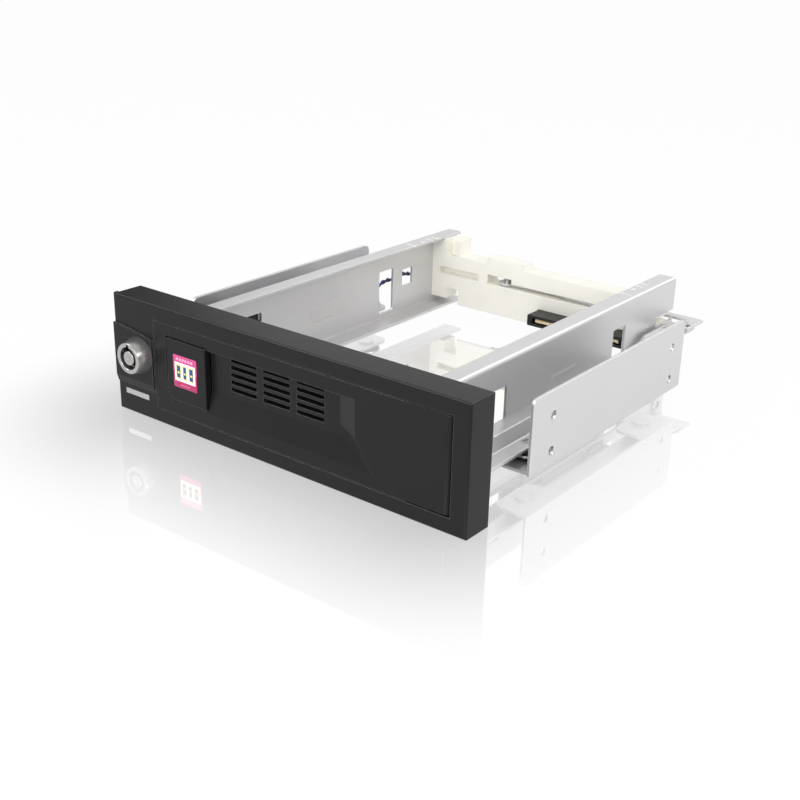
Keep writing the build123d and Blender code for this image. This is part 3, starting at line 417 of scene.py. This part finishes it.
def turned(profile, centre, axis, steps, notch=None):
    """Surface of revolution: point (u, v) = centre + along(v) on the axis + radius(v) at the angle u round it.
    notch(radius, along, angle) may change the radius."""
    profile = np.array(profile)
    angle = np.linspace(0, 2 * math.pi, steps, endpoint=False)[:, None]
    radius = np.broadcast_to(profile[:, 0], (steps, len(profile)))
    along = np.broadcast_to(profile[:, 1], (steps, len(profile)))
    if notch:
        radius = notch(radius, along, np.broadcast_to(angle, radius.shape))
    first, second = radius * np.cos(angle), radius * np.sin(angle)
    order = {"Y": (first, along, second), "Z": (first, second, along)}[axis]
    return np.stack(order, axis=-1) + np.array(centre)


class CAGE_OT_solids(bpy.types.Operator):
    """Gives every solid of the frame the finish of its material slot"""
    bl_idname = "cage.solids"
    bl_label = "Finish the solids"

    def execute(self, context):
        FINISHES.update(make_finishes())
        for name, part in PARTS.items():
            part.data.materials.clear()
            part.data.materials.append(FINISHES[SLOT_OF[name]])
        # Black oxide on the release plate's pins: nearly black, a faint sheen
        pins = PARTS["release_pins"].data.materials
        pins.clear()
        pins.append(metal("black_oxided_steel", srgb("#26262a"), 0.4, 0.4, (1, 1, 1), 0.004))
        return {"FINISHED"}


class CAGE_OT_lock(bpy.types.Operator):
    """Turned lock barrel with its keyway and notch, the plug's post and the key pins"""
    bl_idname = "cage.lock"
    bl_label = "Lock"

    def execute(self, context):
        sizes = context.scene.cage_sizes
        low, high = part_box("lock_barrel")
        centre = ((low.x + high.x) / 2, 0, (low.z + high.z) / 2)
        front, rear, head_r = low.y, high.y, (high.x - low.x) / 2
        nose_r, nose_edge, mouth_edge = head_r - 1.15 * MM, 0.2 * MM, 0.15 * MM
        shoulder, shoulder_edge = front + 5.2 * MM, 0.25 * MM
        keyway_r, keyway_end = 3.9 * MM, front + 4.5 * MM
        body_r, body_edge, bore_r = 4.6 * MM, 0.2 * MM, 3.33 * MM
        profile = [(keyway_r, keyway_end), (keyway_r, front + mouth_edge), (keyway_r + mouth_edge, front)]
        profile += rounded_corner((nose_r - nose_edge, front + nose_edge), nose_edge, -90, -11)
        profile += [(head_r, shoulder - shoulder_edge), (head_r, shoulder)]
        profile += [(body_r, shoulder), (body_r, rear - body_edge), (body_r - body_edge, rear)]
        profile += [(bore_r, rear), (bore_r, keyway_end)]

        def notch(radius, along, angle):
            """The keyway's wall steps out where the key's lug enters, at the top."""
            half_width, depth, hair = 0.6 * MM, 0.85 * MM, 0.01 * MM
            at_top = np.abs(angle - math.pi / 2) < half_width / keyway_r
            wall = (radius <= keyway_r + mouth_edge + hair) & (radius > bore_r + hair) & (along <= keyway_end)
            return np.where(at_top & wall, radius + depth, radius)

        barrel = surface_piece("lock_barrel_turned", turned(profile, centre, "Y", 2 * sizes.turns, notch),
                               wrap_u=True, wrap_v=True)
        dressed(smoothed(barrel), "nickel_plate", "cage", "lock_barrel")

        # The plug: a dimpled post in front, a disc that closes the keyway, a tail that carries the cam
        low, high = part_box("lock_plug")
        front, rear, plug_r = low.y, high.y, (high.x - low.x) / 2
        post_r, post_edge, tail_r, tail_front = 2.5 * MM, 0.25 * MM, 1.6 * MM, rear - 3.4 * MM
        profile = [(0, front + 0.5 * MM), (0.8 * MM, front + 0.1 * MM), (0.95 * MM, front)]
        profile += rounded_corner((post_r - post_edge, front + post_edge), post_edge, -90, 0)
        profile += [(post_r, keyway_end), (plug_r, keyway_end), (plug_r, tail_front), (tail_r, tail_front)]
        profile += [(tail_r, rear), (0, rear)]
        plug = surface_piece("lock_plug_turned", turned(profile, centre, "Y", sizes.turns), wrap_u=True)
        dressed(smoothed(plug), "nickel_plate", "plug_body", "lock_plug")

        pins, count = [], 7
        pin_r, ring_r = sizes.key_pin / 2, (keyway_r + post_r) / 2
        tip, foot = keyway_end - 2.6 * MM, keyway_end + 0.2 * MM
        profile = [(0, tip), (0.6 * pin_r, tip + 0.1 * pin_r), (pin_r, tip + 0.5 * pin_r), (pin_r, foot),
                   (0, foot)]
        for step in range(count):
            turn = math.radians(90 + 360 / count * (step + 0.5))
            at = (centre[0] + ring_r * math.cos(turn), 0, centre[2] + ring_r * math.sin(turn))
            pins.append(surface_piece("pin", turned(profile, at, "Y", 16), wrap_u=True))
        dressed(smoothed(joined("lock_key_pins", pins)), "nickel_plate", "plug_body")
        return {"FINISHED"}


class CAGE_OT_dampers(bpy.types.Operator):
    """Moulded damping rubbers with rounded rims, two to a damper, below and above its steel ring"""
    bl_idname = "cage.dampers"
    bl_label = "Dampers"

    def execute(self, context):
        sizes = context.scene.cage_sizes
        low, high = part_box("damper_grommets")
        ring_low, ring_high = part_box("damper_washers")
        outer, bore, r = 5.5 * MM, 3.3 * MM, sizes.rubber_edge
        pieces = []
        for z0, z1 in ((low.z, ring_low.z), (ring_high.z, high.z)):
            profile = [(bore, z0)]
            profile += rounded_corner((outer - r, z0 + r), r, -90, 0)
            profile += rounded_corner((outer - r, z1 - r), r, 0, 90)
            profile += [(bore, z1)]
            for x in (low.x + outer, high.x - outer):
                for y in (low.y + outer, high.y - outer):
                    pieces.append(surface_piece("damper", turned(profile, (x, y, 0), "Z", sizes.turns),
                                                wrap_u=True, wrap_v=True))
        dressed(smoothed(joined("damper_rubbers", pieces)), "black_rubber", "cage", "damper_grommets")
        return {"FINISHED"}


def slab_grid(outline, z0, z1):
    """Grid of a closed flat piece: the outline carried from z0 to z1, both ends drawn in to the middle."""
    outline = np.array(outline)
    centre = outline.mean(axis=0)
    rings = [(0, z0), (1, z0), (1, z1), (0, z1)]
    return np.array([np.column_stack([centre + share * (outline - centre), np.full(len(outline), z)])
                     for share, z in rings])


def slab(outline, z0, z1):
    """Closed flat piece of that grid."""
    return surface_piece("slab", slab_grid(outline, z0, z1), wrap_v=True)


def screw(head_r, head_t, shank_r, shank_len, steps):
    """Pan head screw along +Z, its head's seat at 0: a turned outline of radius against height, and in the
    head's dome a cross recess, where the height drops by the depth times a smooth step across each arm."""
    tip, end_edge, rim_h, crown_h = 0.001 * MM, 0.4 * MM, 0.55 * head_t, 0.3 * head_t
    seat = [(tip, -shank_len), (0.7 * shank_r, -shank_len), (shank_r, end_edge - shank_len), (shank_r, 0)]
    rim = [(head_r, 0), (head_r, rim_h)]
    rim += [(head_r - 0.45 * head_t * (1 - math.cos(a)), rim_h + crown_h * math.sin(a))
            for a in np.radians((20, 45, 70, 90))]
    inner_r = rim[-1][0]
    dome = [(inner_r * k, head_t * (1 - 0.15 * k * k)) for k in np.linspace(0.97, 0.0, 26)]
    profile = np.array(seat + rim + dome)
    angle = np.linspace(0, 2 * math.pi, steps, endpoint=False)[:, None]
    x, y = profile[:, 0] * np.cos(angle), profile[:, 0] * np.sin(angle)
    z = np.broadcast_to(profile[:, 1], x.shape).copy()
    half, reach, soft = 0.16 * head_r, 0.62 * head_r, 0.06 * head_r
    along, across = np.maximum(np.abs(x), np.abs(y)), np.minimum(np.abs(x), np.abs(y))
    arm = np.clip((half - across) / soft + 0.5, 0, 1) * np.clip((reach - along) / soft + 0.5, 0, 1)
    z -= np.where(z > 0.5 * head_t, arm * 0.7 * head_t, 0)
    return np.stack([x, y, z], axis=-1)


def placed(grid, at, axis, side, turn):
    """The grid turned about its own line, then laid along +-X or +-Y, and moved to the point, in metres."""
    spun = grid @ np.array(Matrix.Rotation(math.radians(turn), 3, "Z")).T
    x, y, z = spun[..., 0], spun[..., 1], spun[..., 2]
    laid = {"X": (z * side, y, x), "Y": (x, z * side, y)}[axis]
    return np.stack(laid, axis=-1) + np.array(at)


class CAGE_OT_screws(bpy.types.Operator):
    """Pan head screws of the rails, the bezel and the backplane, with cross recesses"""
    bl_idname = "cage.screws"
    bl_label = "Screws"

    def execute(self, context):
        steps = context.scene.cage_sizes.turns
        rail_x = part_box("right_side_rail")[1].x
        low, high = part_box("cross_member_screws")
        middle_y, middle_z = (low.y + high.y) / 2, (low.z + high.z) / 2
        big = screw(2.75 * MM, high.x - rail_x, 1.5 * MM, 6.0 * MM, steps)
        grids = [placed(big, (side * rail_x, middle_y, middle_z), "X", side, 25 * side) for side in (-1, 1)]
        self.fit("cross_member_screws", grids)

        # Into the bezel's back, through the middle of the tabs of the rails' top and bottom flanges
        low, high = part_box("bezel_screws")
        head_r, head_t = 2.2 * MM, 1.3 * MM
        small = screw(head_r, head_t, 1.1 * MM, high.y - head_t - low.y, steps)
        seat, top_x, bottom_x = high.y - head_t, rail_x - 3.5 * MM, rail_x - 4.65 * MM
        grids = []
        for side in (-1, 1):
            grids.append(placed(small, (side * top_x, seat, high.z - head_r), "Y", 1, 20 * side))
            grids.append(placed(small, (side * bottom_x, seat, low.z + head_r), "Y", 1, 50 * side))
        self.fit("bezel_screws", grids)

        low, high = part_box("board_screws")
        head_r = (high.z - low.z) / 2
        small = screw(head_r, high.y - low.y, 0.8 * MM, 0.5 * MM, steps)
        places = [(x, low.y, (low.z + high.z) / 2) for x in (low.x + head_r, high.x - head_r)]
        self.fit("board_screws", [placed(small, place, "Y", 1, 15) for place in places])
        return {"FINISHED"}

    def fit(self, node, grids):
        """Makes one piece of the screws and lets it stand for the node."""
        pieces = [surface_piece("screw", grid, wrap_u=True) for grid in grids]
        dressed(smoothed(joined(node + "_cross_recess", pieces)), SLOT_OF[node], "cage", node)


class CAGE_OT_marks(bpy.types.Operator):
    """White fill in the slots and the arrow that are stamped into the rails' top flanges"""
    bl_idname = "cage.marks"
    bl_label = "Filled marks"

    def execute(self, context):
        rail_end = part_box("right_side_rail")[1]
        inset, recess, thick, half = 0.05 * MM, 0.4 * MM, 0.36 * MM, 0.4 * MM
        foot, inner = RAIL_TOP * MM - recess, rail_end.x - 7.0 * MM
        outlines = []
        # How far each slot lies from the rail's rear end and how far it reaches from the flange's edge, in mm
        for back, reach in ((31.6, 4.7), (19.8, 3.4), (16.2, 3.6)):
            y, x0, x1 = rail_end.y - back * MM, inner + inset, inner + reach * MM - inset
            outlines.append([(x0, y - half), (x1, y - half), (x1, y + half), (x0, y + half)])
        arrow_y, arrow_x0, arrow_x1 = rail_end.y - 24.4 * MM, inner + 0.95 * MM, inner + 3.3 * MM
        outlines.append([(arrow_x0, arrow_y + 1.5 * MM), (arrow_x0, arrow_y - 1.5 * MM), (arrow_x1, arrow_y)])
        marks = []
        for side in (-1, 1):
            for outline in outlines:
                marks.append(slab([(side * x, y) for x, y in outline], foot, foot + thick))
        piece = joined("flange_marks", marks)
        # White fill in the recesses, with a soft gloss
        paint = tuple(context.scene.cage_colours.paint)
        piece.data.materials.append(moulded("white_mark_fill", paint, 0.3, 0.01, 0.4))
        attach(piece, "cage")
        return {"FINISHED"}


def block_piece(low, high):
    """Closed box between two corners, given in millimetres."""
    outline = [(low[0], low[1]), (high[0], low[1]), (high[0], high[1]), (low[0], high[1])]
    return slab([(x * MM, y * MM) for x, y in outline], low[2] * MM, high[2] * MM)


class CAGE_OT_backing(bpy.types.Operator):
    """Inner ribs of the door's moulding behind the release plate's gap, which keep light out"""
    bl_idname = "cage.backing"
    bl_label = "Door's light ribs"

    def execute(self, context):
        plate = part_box("release_plate")[1]
        right, top = plate.x / MM, plate.z / MM
        left, foot, rib = right - 20.0, 10.4, 0.7
        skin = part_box("door")[0].y / MM + DOOR_SKIN
        behind = skin + 0.02
        hook_low, hook_high = 18.8, 24.2
        ribs = [
            # Behind the well at the plate's free end, and along the top of the opening
            block_piece((right - 7.0, skin + 2.75, foot), (right - 1.9, skin + 3.7, 32.6)),
            block_piece((left, behind, top - 0.9), (right + 0.8, skin + rib, top + 1.1)),
        ]
        # Above and below the hook's arm, which turns between these two
        for low, high in ((foot, hook_low), (hook_high, top - 0.92)):
            ribs.append(block_piece((left, behind, low), (right - 17.2, skin + rib, high)))
        dressed(joined("door_light_ribs", ribs), "black_abs", "door_body")
        return {"FINISHED"}


class CAGE_OT_shade_sheet(bpy.types.Operator):
    """A black woven sheet on the door's back, behind the vents: painted shade that keeps the vents dark"""
    bl_idname = "cage.gauze"
    bl_label = "Dust gauze"

    def execute(self, context):
        # A margin of about 1.5 mm all round the field of vents, in millimetres
        plate_right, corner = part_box("release_plate")[1].x / MM, 1.2
        x0, x1, z0, z1 = plate_right + 7.6 + corner, plate_right + 49.8 - corner, 18.2 + corner, 32.2 - corner
        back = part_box("door")[0].y / MM + DOOR_BULGE
        outline = []
        for x, z, start in ((x1, z1, 0), (x0, z1, 90), (x0, z0, 180), (x1, z0, 270)):
            outline += rounded_corner((x, z), corner, start, start + 90)
        grid = slab_grid(np.array(outline) * MM, (back + 0.02) * MM, (back + 0.2) * MM)
        # The black sheet is painted shade: it stands behind the vents so that they look dark
        gauze = surface_piece("vent_shade_sheet", np.stack([grid[..., 0], grid[..., 2], grid[..., 1]], axis=-1),
                              wrap_v=True)
        gauze.data.materials.append(finish("black_polyester_shade_sheet", shade_sheet_surface))
        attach(gauze, "door_body")
        return {"FINISHED"}


class CAGE_OT_leaves(bpy.types.Operator):
    """Thin webs left in the slits round each rail's leaf, a little below the faces"""
    bl_idname = "cage.leaves"
    bl_label = "Webs of the leaves"

    def execute(self, context):
        strips = []
        front, rear, low, high, slit, sunk = 64.0 - BACK, 81.0 - BACK, 16.5, 22.0, 0.8, 0.04
        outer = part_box("right_side_rail")[1].x / MM
        for side in (-1, 1):
            near, far = sorted((side * (outer - SHEET + sunk), side * (outer - sunk)))
            for corners in (((near, front + slit, low - slit), (far, rear, low)),
                            ((near, front + slit, high), (far, rear, high + slit)),
                            ((near, front, low - slit), (far, front + slit, high + slit))):
                strips.append(block_piece(*corners))
        dressed(joined("leaf_webs", strips), "plated_sheet", "cage")
        return {"FINISHED"}


class CAGE_OT_label(bpy.types.Operator):
    """Printed label: a thin film with rounded corners, its outline drawn in to the middle ring by ring"""
    bl_idname = "cage.label"
    bl_label = "Label"

    def execute(self, context):
        low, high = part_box("release_label")
        corner = context.scene.cage_sizes.label_corner
        half_w, half_h = (high.x - low.x) / 2, (high.z - low.z) / 2
        centre = np.array([(low.x + high.x) / 2, 0, (low.z + high.z) / 2])
        edge = []
        for side_x, side_z, start in ((1, 1, 0), (-1, 1, 90), (-1, -1, 180), (1, -1, 270)):
            middle = (side_x * (half_w - corner), side_z * (half_h - corner))
            edge += rounded_corner(middle, corner, start, start + 90)
        edge = np.array(edge)
        # The outline's rings, each with its share of the full size and its y: back, side, softened rim, face
        rings = [(1.0, high.y), (1.0, low.y + 0.03 * MM)] + [(share, low.y) for share in (0.992, 0.6, 0.3, 0.0)]
        grid = np.array([np.column_stack([edge[:, 0] * k, np.full(len(edge), y), edge[:, 1] * k])
                         for k, y in rings])
        back = np.zeros((1, len(edge), 3))
        back[..., 1] = high.y
        label = surface_piece("release_label_film", np.concatenate([back, grid]) + centre, wrap_v=True)
        dressed(smoothed(label), "printed_label", "release_body", "release_label")
        return {"FINISHED"}


def lead_route():
    """Control points of the light's lead, from its board to the backplane's plug, in millimetres."""
    return np.array([
        (-66.5, -1.2, 8.0), (-66.5, 5.0, 8.0), (-68.9, 12.0, 9.8), (-70.9, 24.0, 14.0), (-70.85, 42.0, 14.9),
        (-68.6, 56.0, 16.8), (-61.2, 69.0, 20.9), (-57.2, 82.0, 19.2), (-56.0, 94.0, 17.35), (-55.6, 103.0, 18.4),
        (-55.5, 112.0, 22.0), (-55.7, 118.5, 21.2), (-55.5, 124.5, 22.6), (-56.0, 132.0, 20.3),
        (-56.4, 141.0, 21.6), (-55.0, 151.9, 22.0), (-46.0, 152.6, 21.0), (-37.0, 152.4, 16.8),
        (-29.0, 152.6, 11.6), (-20.2, 152.6, 11.6)])


class CAGE_OT_lead(bpy.types.Operator):
    """Twisted pair from the light's board to the backplane's plug: each strand is a round tube whose centre
    turns about the route, at route(s) + r (cos t side(s) + sin t over(s)) with t = 2 pi s / twist"""
    bl_idname = "cage.lead"
    bl_label = "Light lead"

    def execute(self, context):
        sizes = context.scene.cage_sizes
        route = lead_route() * MM
        route[:, 1] -= BACK * MM
        line = bpy.data.curves.new("light_lead_line", "CURVE")
        line.dimensions = "3D"
        line.resolution_u = 24
        spline = line.splines.new("NURBS")
        spline.points.add(len(route) - 1)
        for point, at in zip(spline.points, route):
            point.co = (*at, 1)
        spline.order_u = 3
        spline.use_endpoint_u = True
        guide = bpy.data.objects.new("light_lead_line", line)
        context.collection.objects.link(guide)
        context.view_layer.update()
        followed = bpy.data.meshes.new_from_object(guide)
        path = np.array([vertex.co[:] for vertex in followed.vertices])
        bpy.data.objects.remove(guide)
        bpy.data.curves.remove(line)
        bpy.data.meshes.remove(followed)

        run = np.concatenate([[0], np.cumsum(np.linalg.norm(np.diff(path, axis=0), axis=1))])
        spacing = 0.35 * MM
        at = np.linspace(0, run[-1], int(run[-1] / spacing))
        centre = np.column_stack([np.interp(at, run, path[:, k]) for k in range(3)])
        ahead = np.gradient(centre, axis=0)
        ahead /= np.linalg.norm(ahead, axis=1)[:, None]
        side = np.cross(ahead, (0.0, 0.0, 1.0))
        side /= np.linalg.norm(side, axis=1)[:, None]
        over = np.cross(side, ahead)
        grids = []
        strand_r = sizes.strand / 2
        around = np.linspace(0, 2 * math.pi, 12, endpoint=False)
        for half in (0, 1):
            turn = 2 * math.pi * at / sizes.twist + half * math.pi
            offset = strand_r * (np.cos(turn)[:, None] * side + np.sin(turn)[:, None] * over)
            ring = np.cos(around)[None, :, None] * side[:, None] + np.sin(around)[None, :, None] * over[:, None]
            middle = centre + offset
            body = middle[:, None] + strand_r * ring
            caps = [np.repeat(middle[k][None, None], len(around), axis=1) for k in (0, -1)]
            grids.append(np.concatenate([caps[0], body, caps[1]]))
        strands = [surface_piece("strand", grid, wrap_v=True) for grid in grids]
        counts = [len(strand.data.vertices) for strand in strands]
        lead = joined("light_lead_pair", strands)
        which = lead.data.attributes.new("strand", "FLOAT", "POINT")
        which.data.foreach_set("value", np.repeat([0.0, 1.0], counts))
        dressed(smoothed(lead, 60), "lead_sheath", "cage", "light_lead")
        return {"FINISHED"}


def floor_surface(tree, place):
    """White acrylic, polished under and close round the cage and dull further out. Where the camera or a gloss
    looks at it, it shines a little by itself, so that shadows on it are pale."""
    path = put(tree, "LightPath")
    looked = put(tree, "Math", {0: path.outputs["Is Camera Ray"], 1: path.outputs["Is Glossy Ray"]},
                 operation="MAXIMUM").outputs[0]
    own_share = put(tree, "Math", {0: looked, 1: 0.9}, operation="MULTIPLY").outputs[0]
    white = put(tree, "BsdfDiffuse", {"Color": (0.92, 0.92, 0.92)})
    own = put(tree, "Emission", {"Color": (1, 1, 1), "Strength": 1.0})
    base = put(tree, "MixShader", {0: own_share, 1: white.outputs[0], 2: own.outputs[0]})
    span = put(tree, "VectorMath", {0: place}, operation="ABSOLUTE").outputs[0]

    def fading(half_x, half_y, reach, most):
        """Most within the rectangle of those half sides, falling to 0 at reach beyond it; lengths in metres."""
        beyond = put(tree, "VectorMath", {0: span, 1: (half_x, half_y, 1)}, operation="SUBTRACT").outputs[0]
        beyond = put(tree, "VectorMath", {0: beyond, 1: (0, 0, 0)}, operation="MAXIMUM").outputs[0]
        away = put(tree, "VectorMath", {0: beyond}, operation="LENGTH").outputs["Value"]
        return put(tree, "MapRange", {"Value": away, "From Min": 0.0, "From Max": reach, "To Min": most,
                                      "To Max": 0.0}, interpolation_type="SMOOTHSTEP").outputs[0]

    # Half a mirror up to 20 mm inside the cage's outline, and more of one in the middle of the drive's space
    half_x, half_y = (side - 20 * MM for side in CAD_BOX[1][:2])
    outer, inner = fading(half_x, half_y, 85 * MM, 0.5), fading(30 * MM, 45 * MM, 30 * MM, 0.25)
    shine = put(tree, "Math", {0: outer, 1: inner}, operation="ADD").outputs[0]
    mirror = put(tree, "BsdfGlossy", {"Color": (1, 1, 1), "Roughness": 0.02})
    floor = put(tree, "MixShader", {0: shine, 1: base.outputs[0], 2: mirror.outputs[0]})
    # What the mirror takes from the open floor's white comes back here
    lift = put(tree, "Math", {0: shine, 1: path.outputs["Is Camera Ray"]}, operation="MULTIPLY").outputs[0]
    lift = put(tree, "Math", {0: lift, 1: 0.15}, operation="MULTIPLY").outputs[0]
    lifted = put(tree, "Emission", {"Color": (1, 1, 1), "Strength": lift})
    return put(tree, "AddShader", {0: floor.outputs[0], 1: lifted.outputs[0]})


def studio_world():
    """White surroundings. The camera sees them plain white, dull surfaces are lit a little less, and gloss also
    sees a dark card on the far left and two soft boxes, which are left out of a mirror's mirror."""
    world = bpy.data.worlds.new("studio")
    world.use_nodes = True
    tree = world.node_tree
    tree.nodes.clear()
    path = put(tree, "LightPath")
    seen = put(tree, "Math", {0: path.outputs["Is Camera Ray"], 1: path.outputs["Is Transmission Ray"]},
               operation="MAXIMUM")
    direct = put(tree, "Math", {0: path.outputs["Glossy Depth"], 1: 1.5}, operation="LESS_THAN").outputs[0]
    aim = put(tree, "TexCoord").outputs["Generated"]
    strength = 0.85
    # Direction of each, what it adds there, and the cosines of its outer and inner rim
    for towards, added, outer, inner in (((-0.88, 0.42, 0.222), -0.77, 0.935, 0.965),
                                         ((-0.575, -0.37, 0.73), 9.0, 0.965, 0.985),
                                         ((0.05, 0.734, 0.677), 2.0, 0.93, 0.97)):
        near = put(tree, "VectorMath", {0: aim, 1: towards}, operation="DOT_PRODUCT").outputs["Value"]
        patch = put(tree, "MapRange", {"Value": near, "From Min": outer, "From Max": inner, "To Min": 0.0,
                                       "To Max": added}, interpolation_type="SMOOTHSTEP").outputs[0]
        patch = put(tree, "Math", {0: patch, 1: direct}, operation="MULTIPLY").outputs[0]
        strength = put(tree, "Math", {0: strength, 1: patch}, operation="ADD").outputs[0]
    lit = put(tree, "Background", {"Color": (1, 1, 1), "Strength": 0.88})
    glossed = put(tree, "Background", {"Color": (1, 1, 1), "Strength": strength})
    shown = put(tree, "Background", {"Color": (1, 1, 1), "Strength": 1.0})
    mixed = put(tree, "MixShader", {0: path.outputs["Is Glossy Ray"], 1: lit.outputs[0], 2: glossed.outputs[0]})
    mixed = put(tree, "MixShader", {0: seen.outputs[0], 1: mixed.outputs[0], 2: shown.outputs[0]})
    put(tree, "OutputWorld", {"Surface": mixed.outputs[0]})
    return world


class CAGE_OT_stage(bpy.types.Operator):
    """White floor with a faint mirror image, soft studio light and the camera"""
    bl_idname = "cage.stage"
    bl_label = "Stage and camera"

    def execute(self, context):
        scene = context.scene
        scene.view_settings.view_transform = "Standard"
        bpy.ops.mesh.primitive_plane_add(size=6, location=(0, 0, 0))
        floor = context.object
        floor.name = "studio_floor"
        floor.data.materials.append(finish("white_acrylic_floor", floor_surface))
        scene.world = studio_world()

        middle = Vector((0, 0, 0.02))
        for name, at, size, power in (("lamp_front", (0.1, -0.85, 0.3), 0.5, 3.6),
                                      ("lamp_right", (0.85, -0.1, 0.5), 0.4, 1.5)):
            lamp = bpy.data.lights.new(name, "AREA")
            lamp.size = size
            lamp.energy = power
            holder = bpy.data.objects.new(name, lamp)
            context.collection.objects.link(holder)
            holder.location = at
            holder.rotation_euler = (middle - Vector(at)).to_track_quat("-Z", "Y").to_euler()

        # Place and turn of the camera, found from the bezel's and rails' corners in the photograph
        view = bpy.data.cameras.new("camera")
        view.sensor_width = 36
        view.lens = 54.369
        camera = bpy.data.objects.new("camera", view)
        context.collection.objects.link(camera)
        place = Vector((0.241314, -0.328982, 0.167164))
        turn = Euler([math.radians(degrees) for degrees in (67.415884, -1.296955, 38.147121)])
        camera.matrix_world = Matrix.LocRotScale(place, turn, None)
        scene.camera = camera
        return {"FINISHED"}


OPERATORS = (CAGE_OT_solids, CAGE_OT_lock, CAGE_OT_dampers, CAGE_OT_screws, CAGE_OT_marks, CAGE_OT_backing,
             CAGE_OT_shade_sheet, CAGE_OT_leaves, CAGE_OT_label, CAGE_OT_lead, CAGE_OT_stage)
FINISHES = {}


class CAGE_PT_panel(bpy.types.Panel):
    """Lists the cage's sizes, colours and pieces"""
    bl_idname = "CAGE_PT_panel"
    bl_label = "Drive Cage"
    bl_space_type = "VIEW_3D"
    bl_region_type = "UI"
    bl_category = "Drive Cage"

    def draw(self, context):
        for group in (context.scene.cage_sizes, context.scene.cage_colours):
            for name in group.bl_rna.properties.keys():
                if name not in ("rna_type", "name"):
                    self.layout.prop(group, name)
        for operator in OPERATORS:
            self.layout.operator(operator.bl_idname)


CLASSES = (CageSizes, CageColours) + OPERATORS + (CAGE_PT_panel,)


def register():
    """Adds the classes, and the sizes and colours to the scene."""
    for cls in CLASSES:
        bpy.utils.register_class(cls)
    bpy.types.Scene.cage_sizes = PointerProperty(type=CageSizes)
    bpy.types.Scene.cage_colours = PointerProperty(type=CageColours)


def unregister():
    """Takes them away again."""
    del bpy.types.Scene.cage_colours
    del bpy.types.Scene.cage_sizes
    for cls in reversed(CLASSES):
        bpy.utils.unregister_class(cls)


def main():
    """Builds every piece in order."""
    register()
    bpy.ops.cage.solids()
    bpy.ops.cage.lock()
    bpy.ops.cage.dampers()
    bpy.ops.cage.screws()
    bpy.ops.cage.marks()
    bpy.ops.cage.backing()
    bpy.ops.cage.gauze()
    bpy.ops.cage.leaves()
    bpy.ops.cage.label()
    bpy.ops.cage.lead()
    bpy.ops.cage.stage()


if __name__ == "__main__":
    main()
